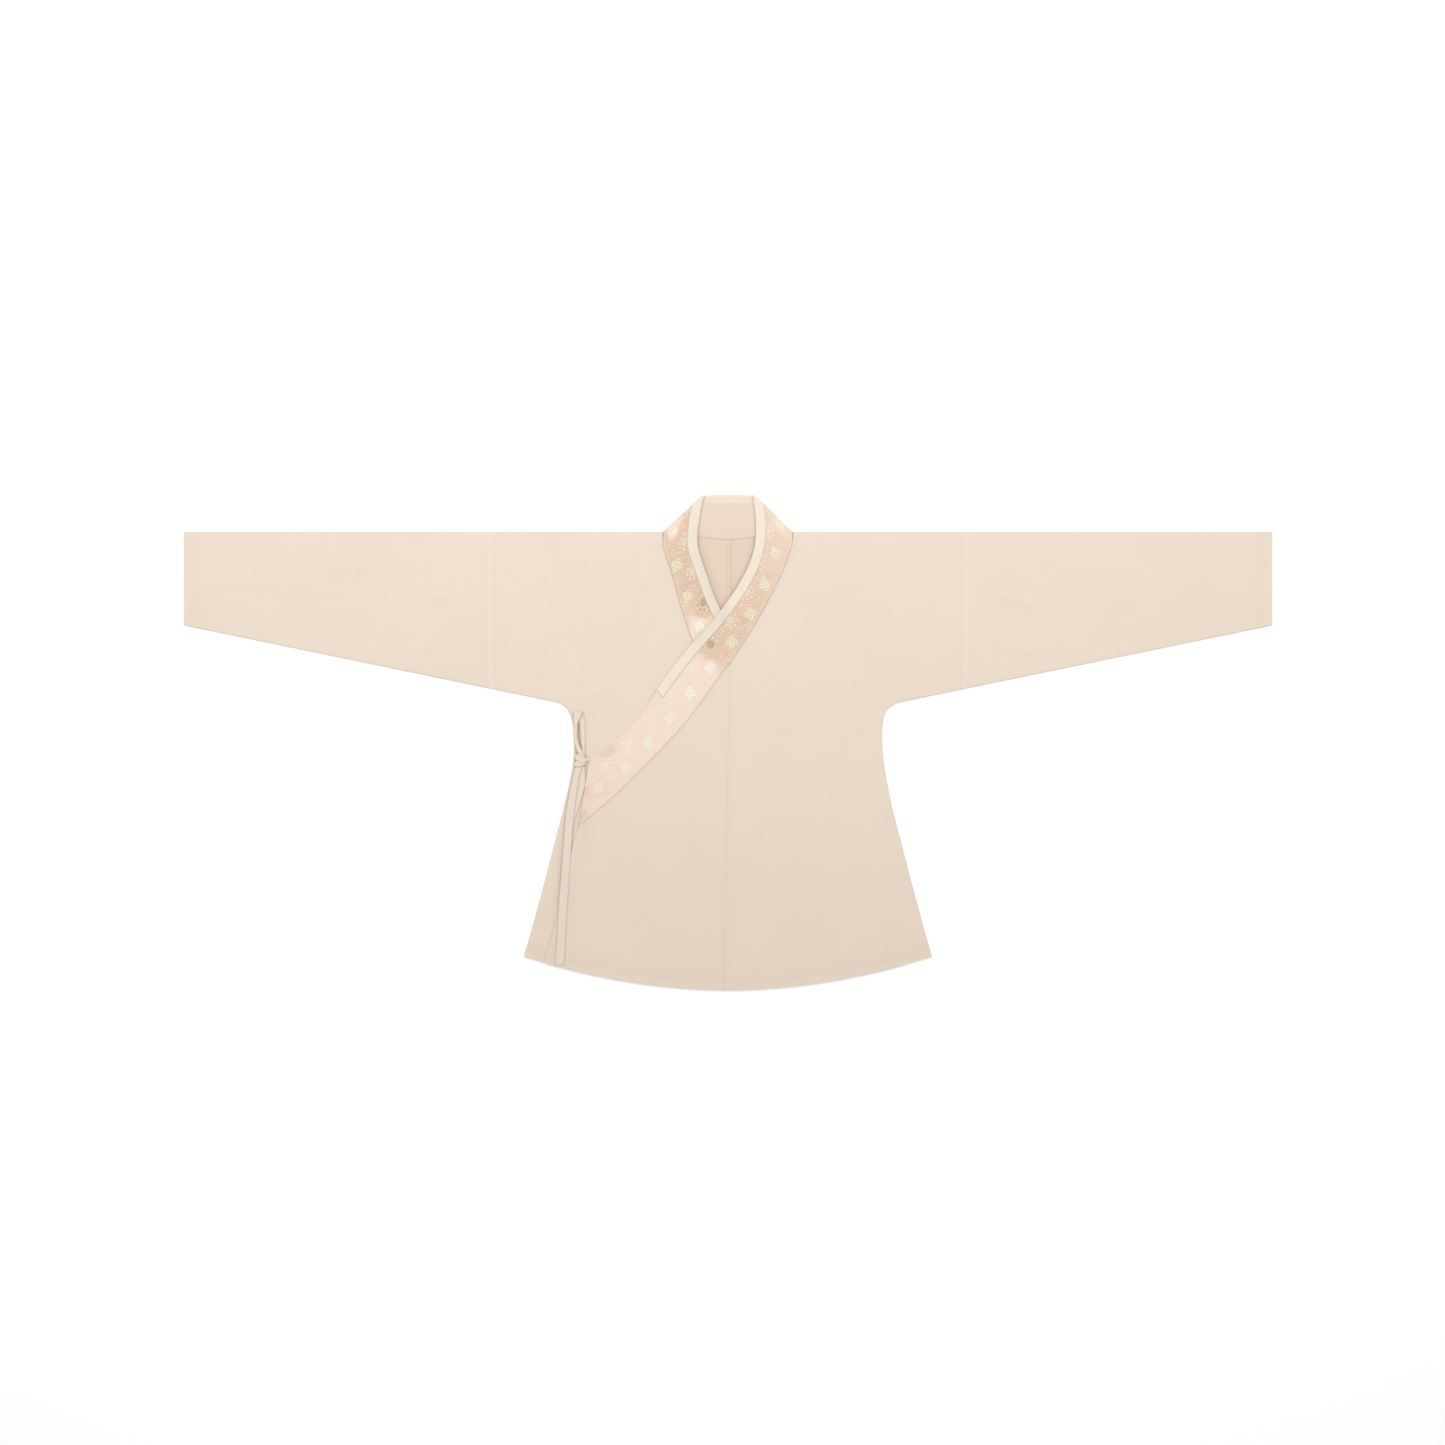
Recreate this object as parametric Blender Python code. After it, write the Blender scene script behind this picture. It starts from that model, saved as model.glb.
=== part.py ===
"""Cross-collar hanfu top laid flat on its back, front up, as a wearer's outline seen from above.

Frame: x to the wearer's left, y toward the head, z up, the back of the garment on z = 0. Every piece is a
cloth wall of its own: panels are folded where the cloth is folded, and pieces meet at seams with a
clearance. Lengths in the tables are millimetres, and every object is built in metres.
"""

import math
from collections import namedtuple

import bpy
import numpy as np
from mathutils.geometry import delaunay_2d_cdt

MM = 0.001

# Cloth
WALL = 1.2 * MM
LAYER_GAP = 0.4 * MM
SEAM_GAP = 0.3 * MM
BAND = 1.0 * MM
BAND_GAP = 0.3 * MM
FRONT_LOW = WALL + LAYER_GAP
FRONT_TOP = FRONT_LOW + WALL
FOLD_RADIUS = FRONT_TOP / 2
OVER_LOW = FRONT_TOP + LAYER_GAP

# Outline
SHOULDER_Y = 351.9 * MM
CUFF_X = 910.0 * MM
CUFF_LOW_Y = 195.1 * MM
UNDERARM_X = 281.0 * MM
UNDERARM_Y = 65.3 * MM
SEAM_TOP_X = 400.0 * MM
SEAM_LOW_X = 396.0 * MM
NECK_POINT_X = 109.9 * MM
HEM_CENTRE_Y = -414.1 * MM
HEM_CORNER_X = 341.6 * MM
HEM_RISE = 55.2 * MM
HEM_POWER = 1.9
CENTRE_BACK_X = 5.0 * MM
CENTRE_FRONT = ((2.5 * MM, 132.2 * MM), (-6.2 * MM, -414.1 * MM))
NECK_END = 5.0 * MM
NECK_TOP_Y = 413.2 * MM
NECK_DEPTH = 12.0 * MM
NECK_POWER = 1.3

# Armpit and side of each half: distances from the middle at heights down the side
SideRow = namedtuple("SideRow", "y right_x left_x")
SIDE = [
    SideRow(60.0, 273.1, 272.6),
    SideRow(53.5, 267.9, 265.8),
    SideRow(43.5, 263.3, 261.0),
    SideRow(31.5, 260.1, 259.0),
    SideRow(16.7, 258.7, 257.8),
    SideRow(-6.0, 257.7, 258.1),
    SideRow(-30.0, 258.8, 260.1),
    SideRow(-60.0, 263.6, 264.8),
    SideRow(-97.0, 271.9, 271.8),
    SideRow(-140.0, 282.7, 282.4),
    SideRow(-185.0, 294.3, 294.0),
    SideRow(-230.0, 305.9, 305.6),
    SideRow(-275.0, 317.9, 317.8),
    SideRow(-318.0, 329.7, 329.4),
    SideRow(-358.9, 341.7, 341.4),
]

# Free edges of the two overlaps, from the collar's tip down to the hem. An overlap starts clear of the
# collar's corner by TIP_CLEARANCE, and the inner front's reach is read from the collar row INNER_REACH_ROW
TIP_CLEARANCE = 1.0 * MM
INNER_REACH_ROW = 10
EdgeRow = namedtuple("EdgeRow", "x y")
OUTER_EDGE = [EdgeRow(-249.9, -140.4), EdgeRow(-264.3, -192.4), EdgeRow(-284.4, -284.4), EdgeRow(-307.8, -368.1)]
INNER_EDGE = [EdgeRow(190.7, -112.1), EdgeRow(217.5, -230.9), EdgeRow(249.3, -379.8)]

# Collar: neck edge and seam edge at each line across the band, with the height that the band rests at
# and how far the brocade is lifted by the guard folded under it
CollarRow = namedtuple("CollarRow", "neck_x neck_y seam_x seam_y rest lift")
COLLAR_INNER = [
    CollarRow(-39.1, 410.6, -107.7, 350.8, 3.9, 1.3),
    CollarRow(-44.2, 393.2, -108.6, 338.6, 3.9, 1.3),
    CollarRow(-47.7, 371.4, -108.2, 326.2, 3.9, 1.3),
    CollarRow(-50.7, 348.0, -104.4, 312.0, 3.5, 1.3),
    CollarRow(-50.2, 326.2, -98.2, 293.6, 2.8, 1.3),
    CollarRow(-44.8, 307.0, -91.7, 271.9, 2.3, 1.3),
    CollarRow(-37.5, 286.1, -84.7, 247.6, 1.9, 1.3),
    CollarRow(-29.6, 262.7, -77.6, 220.8, 1.7, 1.3),
    CollarRow(-21.4, 240.9, -69.9, 198.3, 1.6, 1.3),
    CollarRow(-8.4, 214.1, -60.2, 171.5, 1.6, 1.3),
    CollarRow(5.0, 190.7, -46.8, 149.7, 1.6, 1.3),
    CollarRow(23.1, 160.6, -28.4, 123.0, 1.6, 0.05),
    CollarRow(48.9, 129.0, 0.0, 86.2, 1.6, 0.05),
    CollarRow(81.3, 88.7, 31.8, 46.8, 1.6, 0.05),
    CollarRow(113.1, 52.7, 65.2, 8.4, 1.6, 0.05),
    CollarRow(140.5, 23.4, 100.4, -26.8, 1.6, 0.05),
    CollarRow(164.0, 1.7, 140.5, -65.2, 1.6, 0.05),
    CollarRow(179.0, -13.4, 190.7, -112.1, 1.6, 0.05),
]
COLLAR_OUTER = [
    CollarRow(40.8, 410.6, 107.4, 350.8, 3.9, 1.3),
    CollarRow(43.8, 393.2, 108.0, 338.6, 3.9, 1.3),
    CollarRow(46.2, 371.4, 107.1, 328.7, 3.9, 1.3),
    CollarRow(46.5, 349.7, 102.9, 315.4, 3.9, 1.3),
    CollarRow(44.2, 327.1, 96.2, 297.0, 4.0, 1.3),
    CollarRow(37.3, 302.8, 86.2, 273.5, 4.3, 1.3),
    CollarRow(26.1, 278.1, 74.4, 250.1, 4.8, 1.3),
    CollarRow(11.4, 253.0, 61.1, 224.2, 5.3, 1.3),
    CollarRow(-5.9, 228.9, 44.8, 195.7, 5.6, 1.3),
    CollarRow(-23.4, 206.1, 25.4, 165.1, 5.6, 1.3),
    CollarRow(-43.5, 184.4, 5.9, 135.5, 5.2, 1.3),
    CollarRow(-63.6, 160.6, -16.2, 106.7, 4.4, 1.3),
    CollarRow(-82.8, 137.2, -35.1, 80.0, 3.7, 1.3),
    CollarRow(-102.1, 111.3, -56.0, 51.9, 3.3, 1.3),
    CollarRow(-118.8, 88.2, -74.1, 28.6, 3.2, 1.3),
    CollarRow(-136.3, 61.6, -95.4, 5.0, 3.2, 0.05),
    CollarRow(-158.1, 33.8, -119.6, -20.6, 3.2, 0.05),
    CollarRow(-183.2, 7.9, -145.6, -46.5, 3.2, 0.05),
    CollarRow(-208.3, -13.9, -174.0, -75.0, 3.2, 0.05),
    CollarRow(-226.7, -26.8, -209.1, -106.6, 3.2, 0.05),
    CollarRow(-232.2, -32.8, -249.9, -140.4, 3.2, 0.05),
]
BACK_STEPS = 6
ROLL_STEPS = 4
ACROSS = [0.0, 0.35, 0.57, 0.79, 1.0]
GUARD_SHARE = 0.35
BROCADE_INSET = 2.0 * MM
GUARD_STACK = 3 * BAND + 2 * BAND_GAP
GUARD_BEND = GUARD_STACK / 2
GUARD_OUTSIDE = 16.5 * MM
GUARD_INSIDE = 14.0 * MM
GUARD_TUCKED = 10.0 * MM
GUARD_BEND_STEPS = 4
GUARD_INNER_END = 9.5
GUARD_OUTER_END = 14
NECK_AXIS = GUARD_STACK + 0.15 * MM
SEAM_AXIS = 1.25 * MM
SEAM_LIFT = 0.05 * MM
FACING_TOP_Y = NECK_TOP_Y - GUARD_INSIDE - SEAM_GAP
FACING_TOP_X = 51.0 * MM
FACING_LOW_X = 62.0 * MM
FACING_COLUMNS = 7
FACING_ROWS = 4

# Ties
RibbonRow = namedtuple("RibbonRow", "x y z width")
SIDE_TIE_UNDER = [
    RibbonRow(-265.2, -143.9, 3.1, 13.0),
    RibbonRow(-260.2, -120.5, 3.1, 13.0),
    RibbonRow(-254.3, -98.7, 3.1, 13.0),
    RibbonRow(-248.8, -77.0, 3.1, 13.0),
    RibbonRow(-246.3, -61.9, 3.6, 13.0),
    RibbonRow(-245.9, -48.5, 4.4, 14.0),
    RibbonRow(-245.9, -35.1, 4.4, 15.0),
    RibbonRow(-245.9, -22.6, 4.4, 13.0),
    RibbonRow(-242.8, -10.0, 3.7, 7.0),
    RibbonRow(-242.3, 3.3, 3.1, 6.0),
    RibbonRow(-242.9, 18.4, 3.1, 8.0),
    RibbonRow(-244.9, 33.5, 3.1, 11.0),
    RibbonRow(-248.9, 47.5, 3.1, 13.4),
]
SIDE_TIE_OVER = [
    RibbonRow(-250.4, 47.5, 5.4, 13.4),
    RibbonRow(-252.6, 33.5, 5.4, 9.6),
    RibbonRow(-253.8, 18.4, 5.3, 6.8),
    RibbonRow(-253.6, 3.3, 5.2, 6.0),
    RibbonRow(-251.1, -10.0, 5.4, 7.0),
    RibbonRow(-246.6, -22.6, 5.7, 13.0),
    RibbonRow(-245.9, -35.1, 5.7, 15.0),
    RibbonRow(-246.2, -46.8, 5.7, 12.6),
    RibbonRow(-251.6, -60.2, 5.2, 11.0),
    RibbonRow(-255.6, -75.3, 4.5, 11.4),
    RibbonRow(-260.5, -97.0, 4.4, 13.4),
    RibbonRow(-265.0, -130.5, 4.4, 13.8),
    RibbonRow(-267.7, -164.0, 4.7, 13.8),
    RibbonRow(-271.4, -214.1, 4.7, 14.2),
    RibbonRow(-275.2, -264.3, 4.7, 14.8),
    RibbonRow(-278.6, -322.9, 4.7, 15.0),
    RibbonRow(-281.2, -372.4, 4.7, 15.6),
]
LOOP_STEPS = 4
KNOT_X = -245.9 * MM
KNOT_TOP_Y = -27.0 * MM
KNOT_PITCH = 8.4 * MM
KNOT_BAND = 8.0 * MM
KNOT_HALF_WIDTH = 8.6 * MM
KNOT_LOW = 3.6 * MM
KNOT_HIGH = 7.5 * MM
KNOT_CORNER = 1.2 * MM
KNOT_TURNS = 1.85
TIE_START_X = -233.4 * MM
TIE_START_Z = 3.9 * MM
TIE_RUN = 2.2 * MM
TIE_RISE = 0.4 * MM

# Soft folds that stand out of the front: a ridge along a line
FoldRow = namedtuple("FoldRow", "x0 y0 x1 y1 width height")
RIGHT_FOLDS = [
    FoldRow(-277.0, -205.0, -322.0, -300.0, 16.0, 1.2),
    FoldRow(-262.0, 90.0, -205.0, 135.0, 18.0, 1.2),
    FoldRow(-330.0, 110.0, -290.0, 160.0, 16.0, 0.9),
]
LEFT_FOLDS = [
    FoldRow(262.0, 85.0, 225.0, 165.0, 18.0, 1.4),
    FoldRow(195.0, -230.0, 212.0, -345.0, 26.0, 1.2),
    FoldRow(340.0, 105.0, 285.0, 150.0, 16.0, 0.9),
]
SLEEVE_FOLDS = [
    FoldRow(438.0, 260.0, 520.0, 225.0, 22.0, 1.4),
    FoldRow(600.0, 300.0, 690.0, 290.0, 26.0, 1.0),
    FoldRow(470.0, 160.0, 560.0, 165.0, 18.0, 1.0),
]

# Meshing
FRONT_SPACING = 34.0 * MM
BACK_SPACING = 70.0 * MM
EDGE_SPACING = 38.0 * MM
RAMP_START = 28.0 * MM
RAMP = 30.0 * MM
ARC_ANGLES = (math.pi / 4, math.pi / 2, 3 * math.pi / 4)
SLEEVE_ROWS = 14
SLEEVE_FRONT_CELLS = 6
SLEEVE_BACK_CELLS = 3
CENTRE_CELLS = 12
BACK_CENTRE_CELLS = 8
INNER_CENTRE_CELLS = 8
BEYOND = 1.0

# Colour and roughness of the three cloths
Cloth = namedtuple("Cloth", "colour roughness")
BEIGE = Cloth((0.80, 0.67, 0.56, 1.0), 0.85)
BROCADE = Cloth((0.85, 0.62, 0.50, 1.0), 0.5)
CREAM = Cloth((0.86, 0.76, 0.62, 1.0), 0.7)


def smooth(share):
    share = np.clip(share, 0.0, 1.0)
    return share * share * (3.0 - 2.0 * share)


def mix(low, high, share):
    return low + (high - low) * share


def hem_y(x):
    return HEM_CENTRE_Y + HEM_RISE * (abs(x) / HEM_CORNER_X) ** HEM_POWER


def underarm_y(x):
    slope = (CUFF_LOW_Y - UNDERARM_Y) / (CUFF_X - UNDERARM_X)
    return UNDERARM_Y + slope * (abs(x) - UNDERARM_X)


def centre_front_x(y):
    (top_x, top_y), (low_x, low_y) = CENTRE_FRONT
    return mix(low_x, top_x, (y - low_y) / (top_y - low_y))


def back_neck_y(x):
    half = COLLAR_OUTER[0].seam_x * MM
    end = COLLAR_OUTER[0].seam_y * MM
    return end - NECK_DEPTH * (1.0 - min(abs(x) / half, 1.0) ** NECK_POWER)


def back_seam_line():
    """The back collar's seam from the wearer's right shoulder corner to the left one."""
    first, last = COLLAR_INNER[0].seam_x * MM, COLLAR_OUTER[0].seam_x * MM
    return np.array([(x, back_neck_y(x)) for x in np.linspace(first, last, BACK_STEPS + 1)])


def tangents(line):
    """Unit directions along an open line: at each point, halfway between its two stretches."""
    steps = np.diff(np.asarray(line, float), axis=0)
    steps /= np.linalg.norm(steps, axis=1)[:, None]
    ways = np.vstack([steps[:1], steps[:-1] + steps[1:], steps[-1:]])
    return ways / np.linalg.norm(ways, axis=1)[:, None]


def normals(line):
    """Unit normals to the right of an open line, at each of its points."""
    step = tangents(line)
    return np.column_stack([step[:, 1], -step[:, 0]])


def offset(line, distance):
    """The line moved to its right by the distance."""
    return np.asarray(line, float) + normals(line) * distance


def resample(line, spacing):
    """The line with more points on its long stretches, its own points kept."""
    line = np.asarray(line, float)
    out = [line[0]]
    for a, b in zip(line[:-1], line[1:]):
        count = max(1, math.ceil(np.linalg.norm(b - a) / spacing))
        out.extend(a + (b - a) * i / count for i in range(1, count + 1))
    return np.array(out)


def cut_at_x(line, x):
    """The start of a line up to where it crosses x."""
    kept = [line[0]]
    for a, b in zip(line[:-1], line[1:]):
        if (a[0] - x) * (b[0] - x) <= 0 and a[0] != b[0]:
            kept.append(a + (b - a) * (x - a[0]) / (b[0] - a[0]))
            return np.array(kept)
        kept.append(b)
    return np.array(kept)


def hem_line(x0, x1):
    """Points along the hem from x0 to x1, both ends included."""
    count = max(2, math.ceil(abs(x1 - x0) / EDGE_SPACING))
    return np.array([(x, hem_y(x)) for x in np.linspace(x0, x1, count + 1)])


def inside(points, outline):
    """Whether each point lies inside the closed outline."""
    result = np.zeros(len(points), bool)
    for a, b in zip(outline, np.roll(outline, -1, axis=0)):
        crosses = (a[1] > points[:, 1]) != (b[1] > points[:, 1])
        at = a[0] + (points[:, 1] - a[1]) * (b[0] - a[0]) / (b[1] - a[1] + 1e-15)
        result ^= crosses & (points[:, 0] < at)
    return result


def distance_to(points, line):
    """Distance from each point to the nearest stretch of an open line."""
    best = np.full(len(points), np.inf)
    for a, b in zip(line[:-1], line[1:]):
        along = b - a
        share = np.clip((points - a) @ along / (along @ along), 0.0, 1.0)
        best = np.minimum(best, np.linalg.norm(points - a - share[:, None] * along, axis=1))
    return best


def fold_height(points, folds):
    """Height that the soft folds add, each a ridge with a rounded section that dies out at its ends."""
    height = np.zeros(len(points))
    for fold in folds:
        a = np.array((fold.x0, fold.y0)) * MM
        b = np.array((fold.x1, fold.y1)) * MM
        distance = distance_to(points, np.array([a, b]))
        height = np.maximum(height, fold.height * MM * (1.0 - smooth(distance / (fold.width * MM))))
    return height


def new_object(name, vertices, faces, cloth):
    """A closed mesh of triangles as an object, turned so that its faces point outwards."""
    vertices, faces = np.asarray(vertices, float), np.asarray(faces, int)
    a, b, c = (vertices[faces[:, i]] for i in range(3))
    if np.sum(a * np.cross(b, c)) < 0:
        faces = faces[:, ::-1]
    mesh = bpy.data.meshes.new(name)
    mesh.from_pydata(vertices.tolist(), [], faces.tolist())
    mesh.validate()
    mesh.update()
    material = bpy.data.materials.new(name)
    material.use_nodes = True
    shader = material.node_tree.nodes["Principled BSDF"]
    shader.inputs["Base Color"].default_value = cloth.colour
    shader.inputs["Roughness"].default_value = cloth.roughness
    material.diffuse_color = cloth.colour
    mesh.materials.append(material)
    built = bpy.data.objects.new(name, mesh)
    bpy.context.scene.collection.objects.link(built)
    return built


def grid_wall(name, outer, inner, cloth, closed=False):
    """A wall between two grids of points, joined along the grid's open edges."""
    rows, columns = outer.shape[:2]
    vertices = np.concatenate([outer.reshape(-1, 3), inner.reshape(-1, 3)])
    under = rows * columns
    faces = []
    wrap = columns if closed else columns - 1
    for i in range(rows - 1):
        for j in range(wrap):
            k = (j + 1) % columns
            a, b, c, d = i * columns + j, i * columns + k, (i + 1) * columns + k, (i + 1) * columns + j
            faces += [(a, b, c), (a, c, d), (under + a, under + c, under + b), (under + a, under + d, under + c)]
    for i, turned in ((0, True), (rows - 1, False)):
        for j in range(wrap):
            k = (j + 1) % columns
            a, b = i * columns + j, i * columns + k
            if turned:
                a, b = b, a
            faces += [(a, b, under + b), (a, under + b, under + a)]
    if not closed:
        for j, turned in ((0, False), (columns - 1, True)):
            for i in range(rows - 1):
                a, b = i * columns + j, (i + 1) * columns + j
                if turned:
                    a, b = b, a
                faces += [(a, b, under + b), (a, under + b, under + a)]
    return new_object(name, vertices, faces, cloth)


def triangulate(outline, spacing):
    """Points and triangles that fill an outline: its own points first, then a staggered grid inside."""
    outline = np.asarray(outline, float)
    low, high = outline.min(axis=0), outline.max(axis=0)
    rise = spacing * math.sqrt(3.0) / 2.0
    grid = []
    for r, y in enumerate(np.arange(low[1] + rise / 2, high[1], rise)):
        start = low[0] + spacing * (0.5 if r % 2 else 0.25)
        grid += [(x, y) for x in np.arange(start, high[0], spacing)]
    grid = np.array(grid).reshape(-1, 2)
    ring = np.vstack([outline, outline[:1]])
    keep = inside(grid, outline) & (distance_to(grid, ring) > 0.5 * spacing)
    points = np.vstack([outline, grid[keep]])
    count = len(outline)
    edges = [(i, (i + 1) % count) for i in range(count)]
    verts, _, faces, origin, _, _ = delaunay_2d_cdt([tuple(p) for p in points], edges, [], 0, 1e-9)
    verts = np.array([tuple(v) for v in verts])
    order = np.array([o[0] for o in origin])
    place = np.empty(len(points), int)
    place[order] = np.arange(len(order))
    centres = np.array([verts[list(f)].mean(axis=0) for f in faces])
    renamed = order[np.array([list(f) for f in faces])][inside(centres, outline)]
    a, b, c = (points[renamed[:, i]] for i in range(3))
    turned = (b[:, 0] - a[:, 0]) * (c[:, 1] - a[:, 1]) < (b[:, 1] - a[:, 1]) * (c[:, 0] - a[:, 0])
    renamed[turned] = renamed[turned][:, ::-1]
    return points, renamed


class Wall:
    """Vertices and faces of one cloth wall, gathered layer by layer."""

    def __init__(self):
        self.vertices = []
        self.faces = []

    def add(self, points):
        start = len(self.vertices)
        self.vertices.extend(tuple(p) for p in points)
        return np.arange(start, start + len(points))

    def strip(self, first, second):
        """Faces between two equal rows of vertices."""
        for a, b, c, d in zip(first[:-1], first[1:], second[1:], second[:-1]):
            self.faces += [(a, b, c), (a, c, d)]

    def layer(self, outline, spacing, low, folded=None):
        """Top and bottom of a layer whose bottom is at the heights that low gives.

        From the point numbered folded on, the outline is where the cloth folds over to the other layer.
        """
        points, triangles = triangulate(outline, spacing)
        bottom = low(points)
        if folded is not None:
            bottom[folded:len(outline)] = FRONT_LOW
        top = self.add(np.column_stack([points, bottom + WALL]))
        under = self.add(np.column_stack([points, bottom]))
        self.faces += [tuple(f) for f in top[triangles]]
        self.faces += [tuple(f[::-1]) for f in under[triangles]]
        return top, under

    def rim(self, top, under, indices):
        """The cut edge of a layer along points of its outline, which runs anticlockwise."""
        self.strip(under[indices], top[indices])

    def fold(self, line, out, top, under, back_top, back_under):
        """Cloth folded along a line of outline points: rounded outside and inside, closed at both ends."""
        outside, within = [top], [under]
        middle = FOLD_RADIUS
        for angle in ARC_ANGLES:
            for rows, radius in ((outside, FOLD_RADIUS), (within, LAYER_GAP / 2)):
                reach = line + out * radius * math.sin(angle)
                height = np.full(len(line), middle + radius * math.cos(angle))
                rows.append(self.add(np.column_stack([reach, height])))
        outside.append(back_under)
        within.append(back_top)
        for a, b in zip(outside[:-1], outside[1:]):
            self.strip(b, a)
        for a, b in zip(within[:-1], within[1:]):
            self.strip(a, b)
        for end, turned in ((0, False), (-1, True)):
            first = np.array([rows[end] for rows in outside])
            second = np.array([rows[end] for rows in within])
            if turned:
                self.strip(first, second)
            else:
                self.strip(second, first)

    def build(self, name):
        return new_object(name, self.vertices, self.faces, BEIGE)


def seam_line(rows):
    return np.array([(r.seam_x, r.seam_y) for r in rows]) * MM


def neck_line(rows):
    return np.array([(r.neck_x, r.neck_y) for r in rows]) * MM


def edge_line(rows):
    """A free edge in metres, its last point moved down on to the hem."""
    line = np.array([(r.x, r.y) for r in rows]) * MM
    line[-1, 1] = hem_y(line[-1, 0])
    return line


def inner_reach():
    """The edge of everything that belongs to the inner front, on the side of the wearer's left."""
    return np.vstack([neck_line(COLLAR_INNER)[INNER_REACH_ROW:], edge_line(INNER_EDGE)])


def outer_front_low(points):
    """Height of the outer front's underside: on the back near the side, up over the inner front."""
    reach = inner_reach()
    covered = np.vstack([reach, [(reach[-1, 0], -BEYOND), (-BEYOND, -BEYOND), (-BEYOND, reach[0, 1])]])
    away = np.where(inside(points, covered), 0.0, distance_to(points, reach))
    return mix(OVER_LOW, FRONT_LOW, smooth((away - RAMP_START) / RAMP))


def half_folds(side):
    return RIGHT_FOLDS if side < 0 else LEFT_FOLDS


def front_low(points, side):
    base = np.full(len(points), FRONT_LOW) if side < 0 else outer_front_low(points)
    return base + fold_height(points, half_folds(side))


def side_line(side):
    """Side of one half from the sleeve seam along the underarm and down to the hem, in from the fold."""
    name = "right_x" if side < 0 else "left_x"
    rows = [(UNDERARM_X, UNDERARM_Y)] + [(getattr(r, name) * MM, r.y * MM) for r in SIDE]
    seam_x = SEAM_LOW_X - SEAM_GAP / 2
    rows.insert(0, (seam_x, underarm_y(seam_x)))
    rows[-1] = (rows[-1][0], hem_y(rows[-1][0]))
    line = resample(np.array(rows) * (side, 1.0), EDGE_SPACING)
    return line, normals(line) * -side


def body_half(name, side):
    """One half of the body: front and back in one piece, folded at the shoulder and closed at the side."""
    rows = COLLAR_INNER if side < 0 else COLLAR_OUTER
    centre = -SEAM_GAP / 2 if side < 0 else SEAM_GAP / 2
    edge, out_side = side_line(side)
    edge = edge - out_side * FOLD_RADIUS
    top_y = SHOULDER_Y - FOLD_RADIUS
    shoulder = resample(
        np.array([(side * NECK_POINT_X, top_y), (side * (SEAM_TOP_X - SEAM_GAP / 2), top_y)]), EDGE_SPACING
    )
    out_top = np.tile((0.0, 1.0), (len(shoulder), 1))
    collar = offset(seam_line(rows), -side * SEAM_GAP)[1:]
    if side < 0:
        collar = cut_at_x(collar, centre)
        heights = np.linspace(collar[-1][1], hem_y(centre), INNER_CENTRE_CELLS + 1)[1:-1]
        front_centre = [(centre, y) for y in heights]
        front_low_x = centre
    else:
        collar = cut_at_x(collar, CENTRE_FRONT[0][0] + centre)
        heights = np.linspace(collar[-1][1], HEM_CENTRE_Y, CENTRE_CELLS + 1)[1:-1]
        front_centre = [(centre_front_x(y) + centre, y) for y in heights]
        front_low_x = centre_front_x(HEM_CENTRE_Y) + centre
    front_hem = hem_line(front_low_x, edge[-1][0])[:-1]
    back_x = CENTRE_BACK_X + centre
    seam = back_seam_line() - (0.0, SEAM_GAP)
    seam = seam if side < 0 else seam[::-1]
    start = cut_at_x(seam, side * (NECK_POINT_X - NECK_END))
    neck = np.vstack([start[-1:], cut_at_x(seam, back_x)[len(start) - 1:]])
    heights = np.linspace(neck[-1][1], hem_y(back_x), BACK_CENTRE_CELLS + 1)[1:-1]
    back_centre = [(back_x, y) for y in heights]
    back_hem = hem_line(back_x, edge[-1][0])[:-1]

    def outline(start, centre_line, hem):
        return np.vstack([start, centre_line, hem, edge[::-1], shoulder[::-1]])

    wall = Wall()
    front = outline(collar, front_centre, front_hem)
    back = outline(neck, back_centre, back_hem)
    folded = len(edge) + len(shoulder)
    sheets = [
        wall.layer(front, FRONT_SPACING, lambda p: front_low(p, side), len(front) - folded),
        wall.layer(back, BACK_SPACING, lambda p: np.zeros(len(p))),
    ]
    spans = [(len(front) - folded, len(front)), (len(back) - folded, len(back))]
    for (top, under), (head, total) in zip(sheets, spans):
        open_ends = [
            np.r_[total - 1, 0:head + 1],
            np.array([head + len(edge) - 1, head + len(edge)]),
        ]
        for indices in open_ends:
            wall.rim(top, under, indices[::-1] if side < 0 else indices)
    (top, under), (back_top, back_under) = sheets
    head, back_head = spans[0][0], spans[1][0]
    chains = []
    for length, start_front, start_back, line, out in (
        (len(edge), head, back_head, edge, out_side),
        (len(shoulder), head + len(edge), back_head + len(edge), shoulder, out_top),
    ):
        pick = np.arange(length)[::-1]
        chains.append((line, out, top[start_front + pick], under[start_front + pick],
                       back_top[start_back + pick], back_under[start_back + pick]))
    for line, out, *ends in chains:
        if side < 0:
            wall.fold(line, out, *ends)
        else:
            wall.fold(line[::-1], out[::-1], *[e[::-1] for e in ends])
    return wall.build(name)


def flat_panel(name, outline, spacing, low):
    """A single layer with a cut edge all round."""
    wall = Wall()
    outline = np.asarray(outline)
    area = np.sum(outline[:, 0] * np.roll(outline[:, 1], -1) - np.roll(outline[:, 0], -1) * outline[:, 1])
    if area < 0:
        outline = outline[::-1]
    top, under = wall.layer(outline, spacing, low)
    wall.rim(top, under, np.r_[0:len(outline), 0])
    return wall.build(name)


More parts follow.
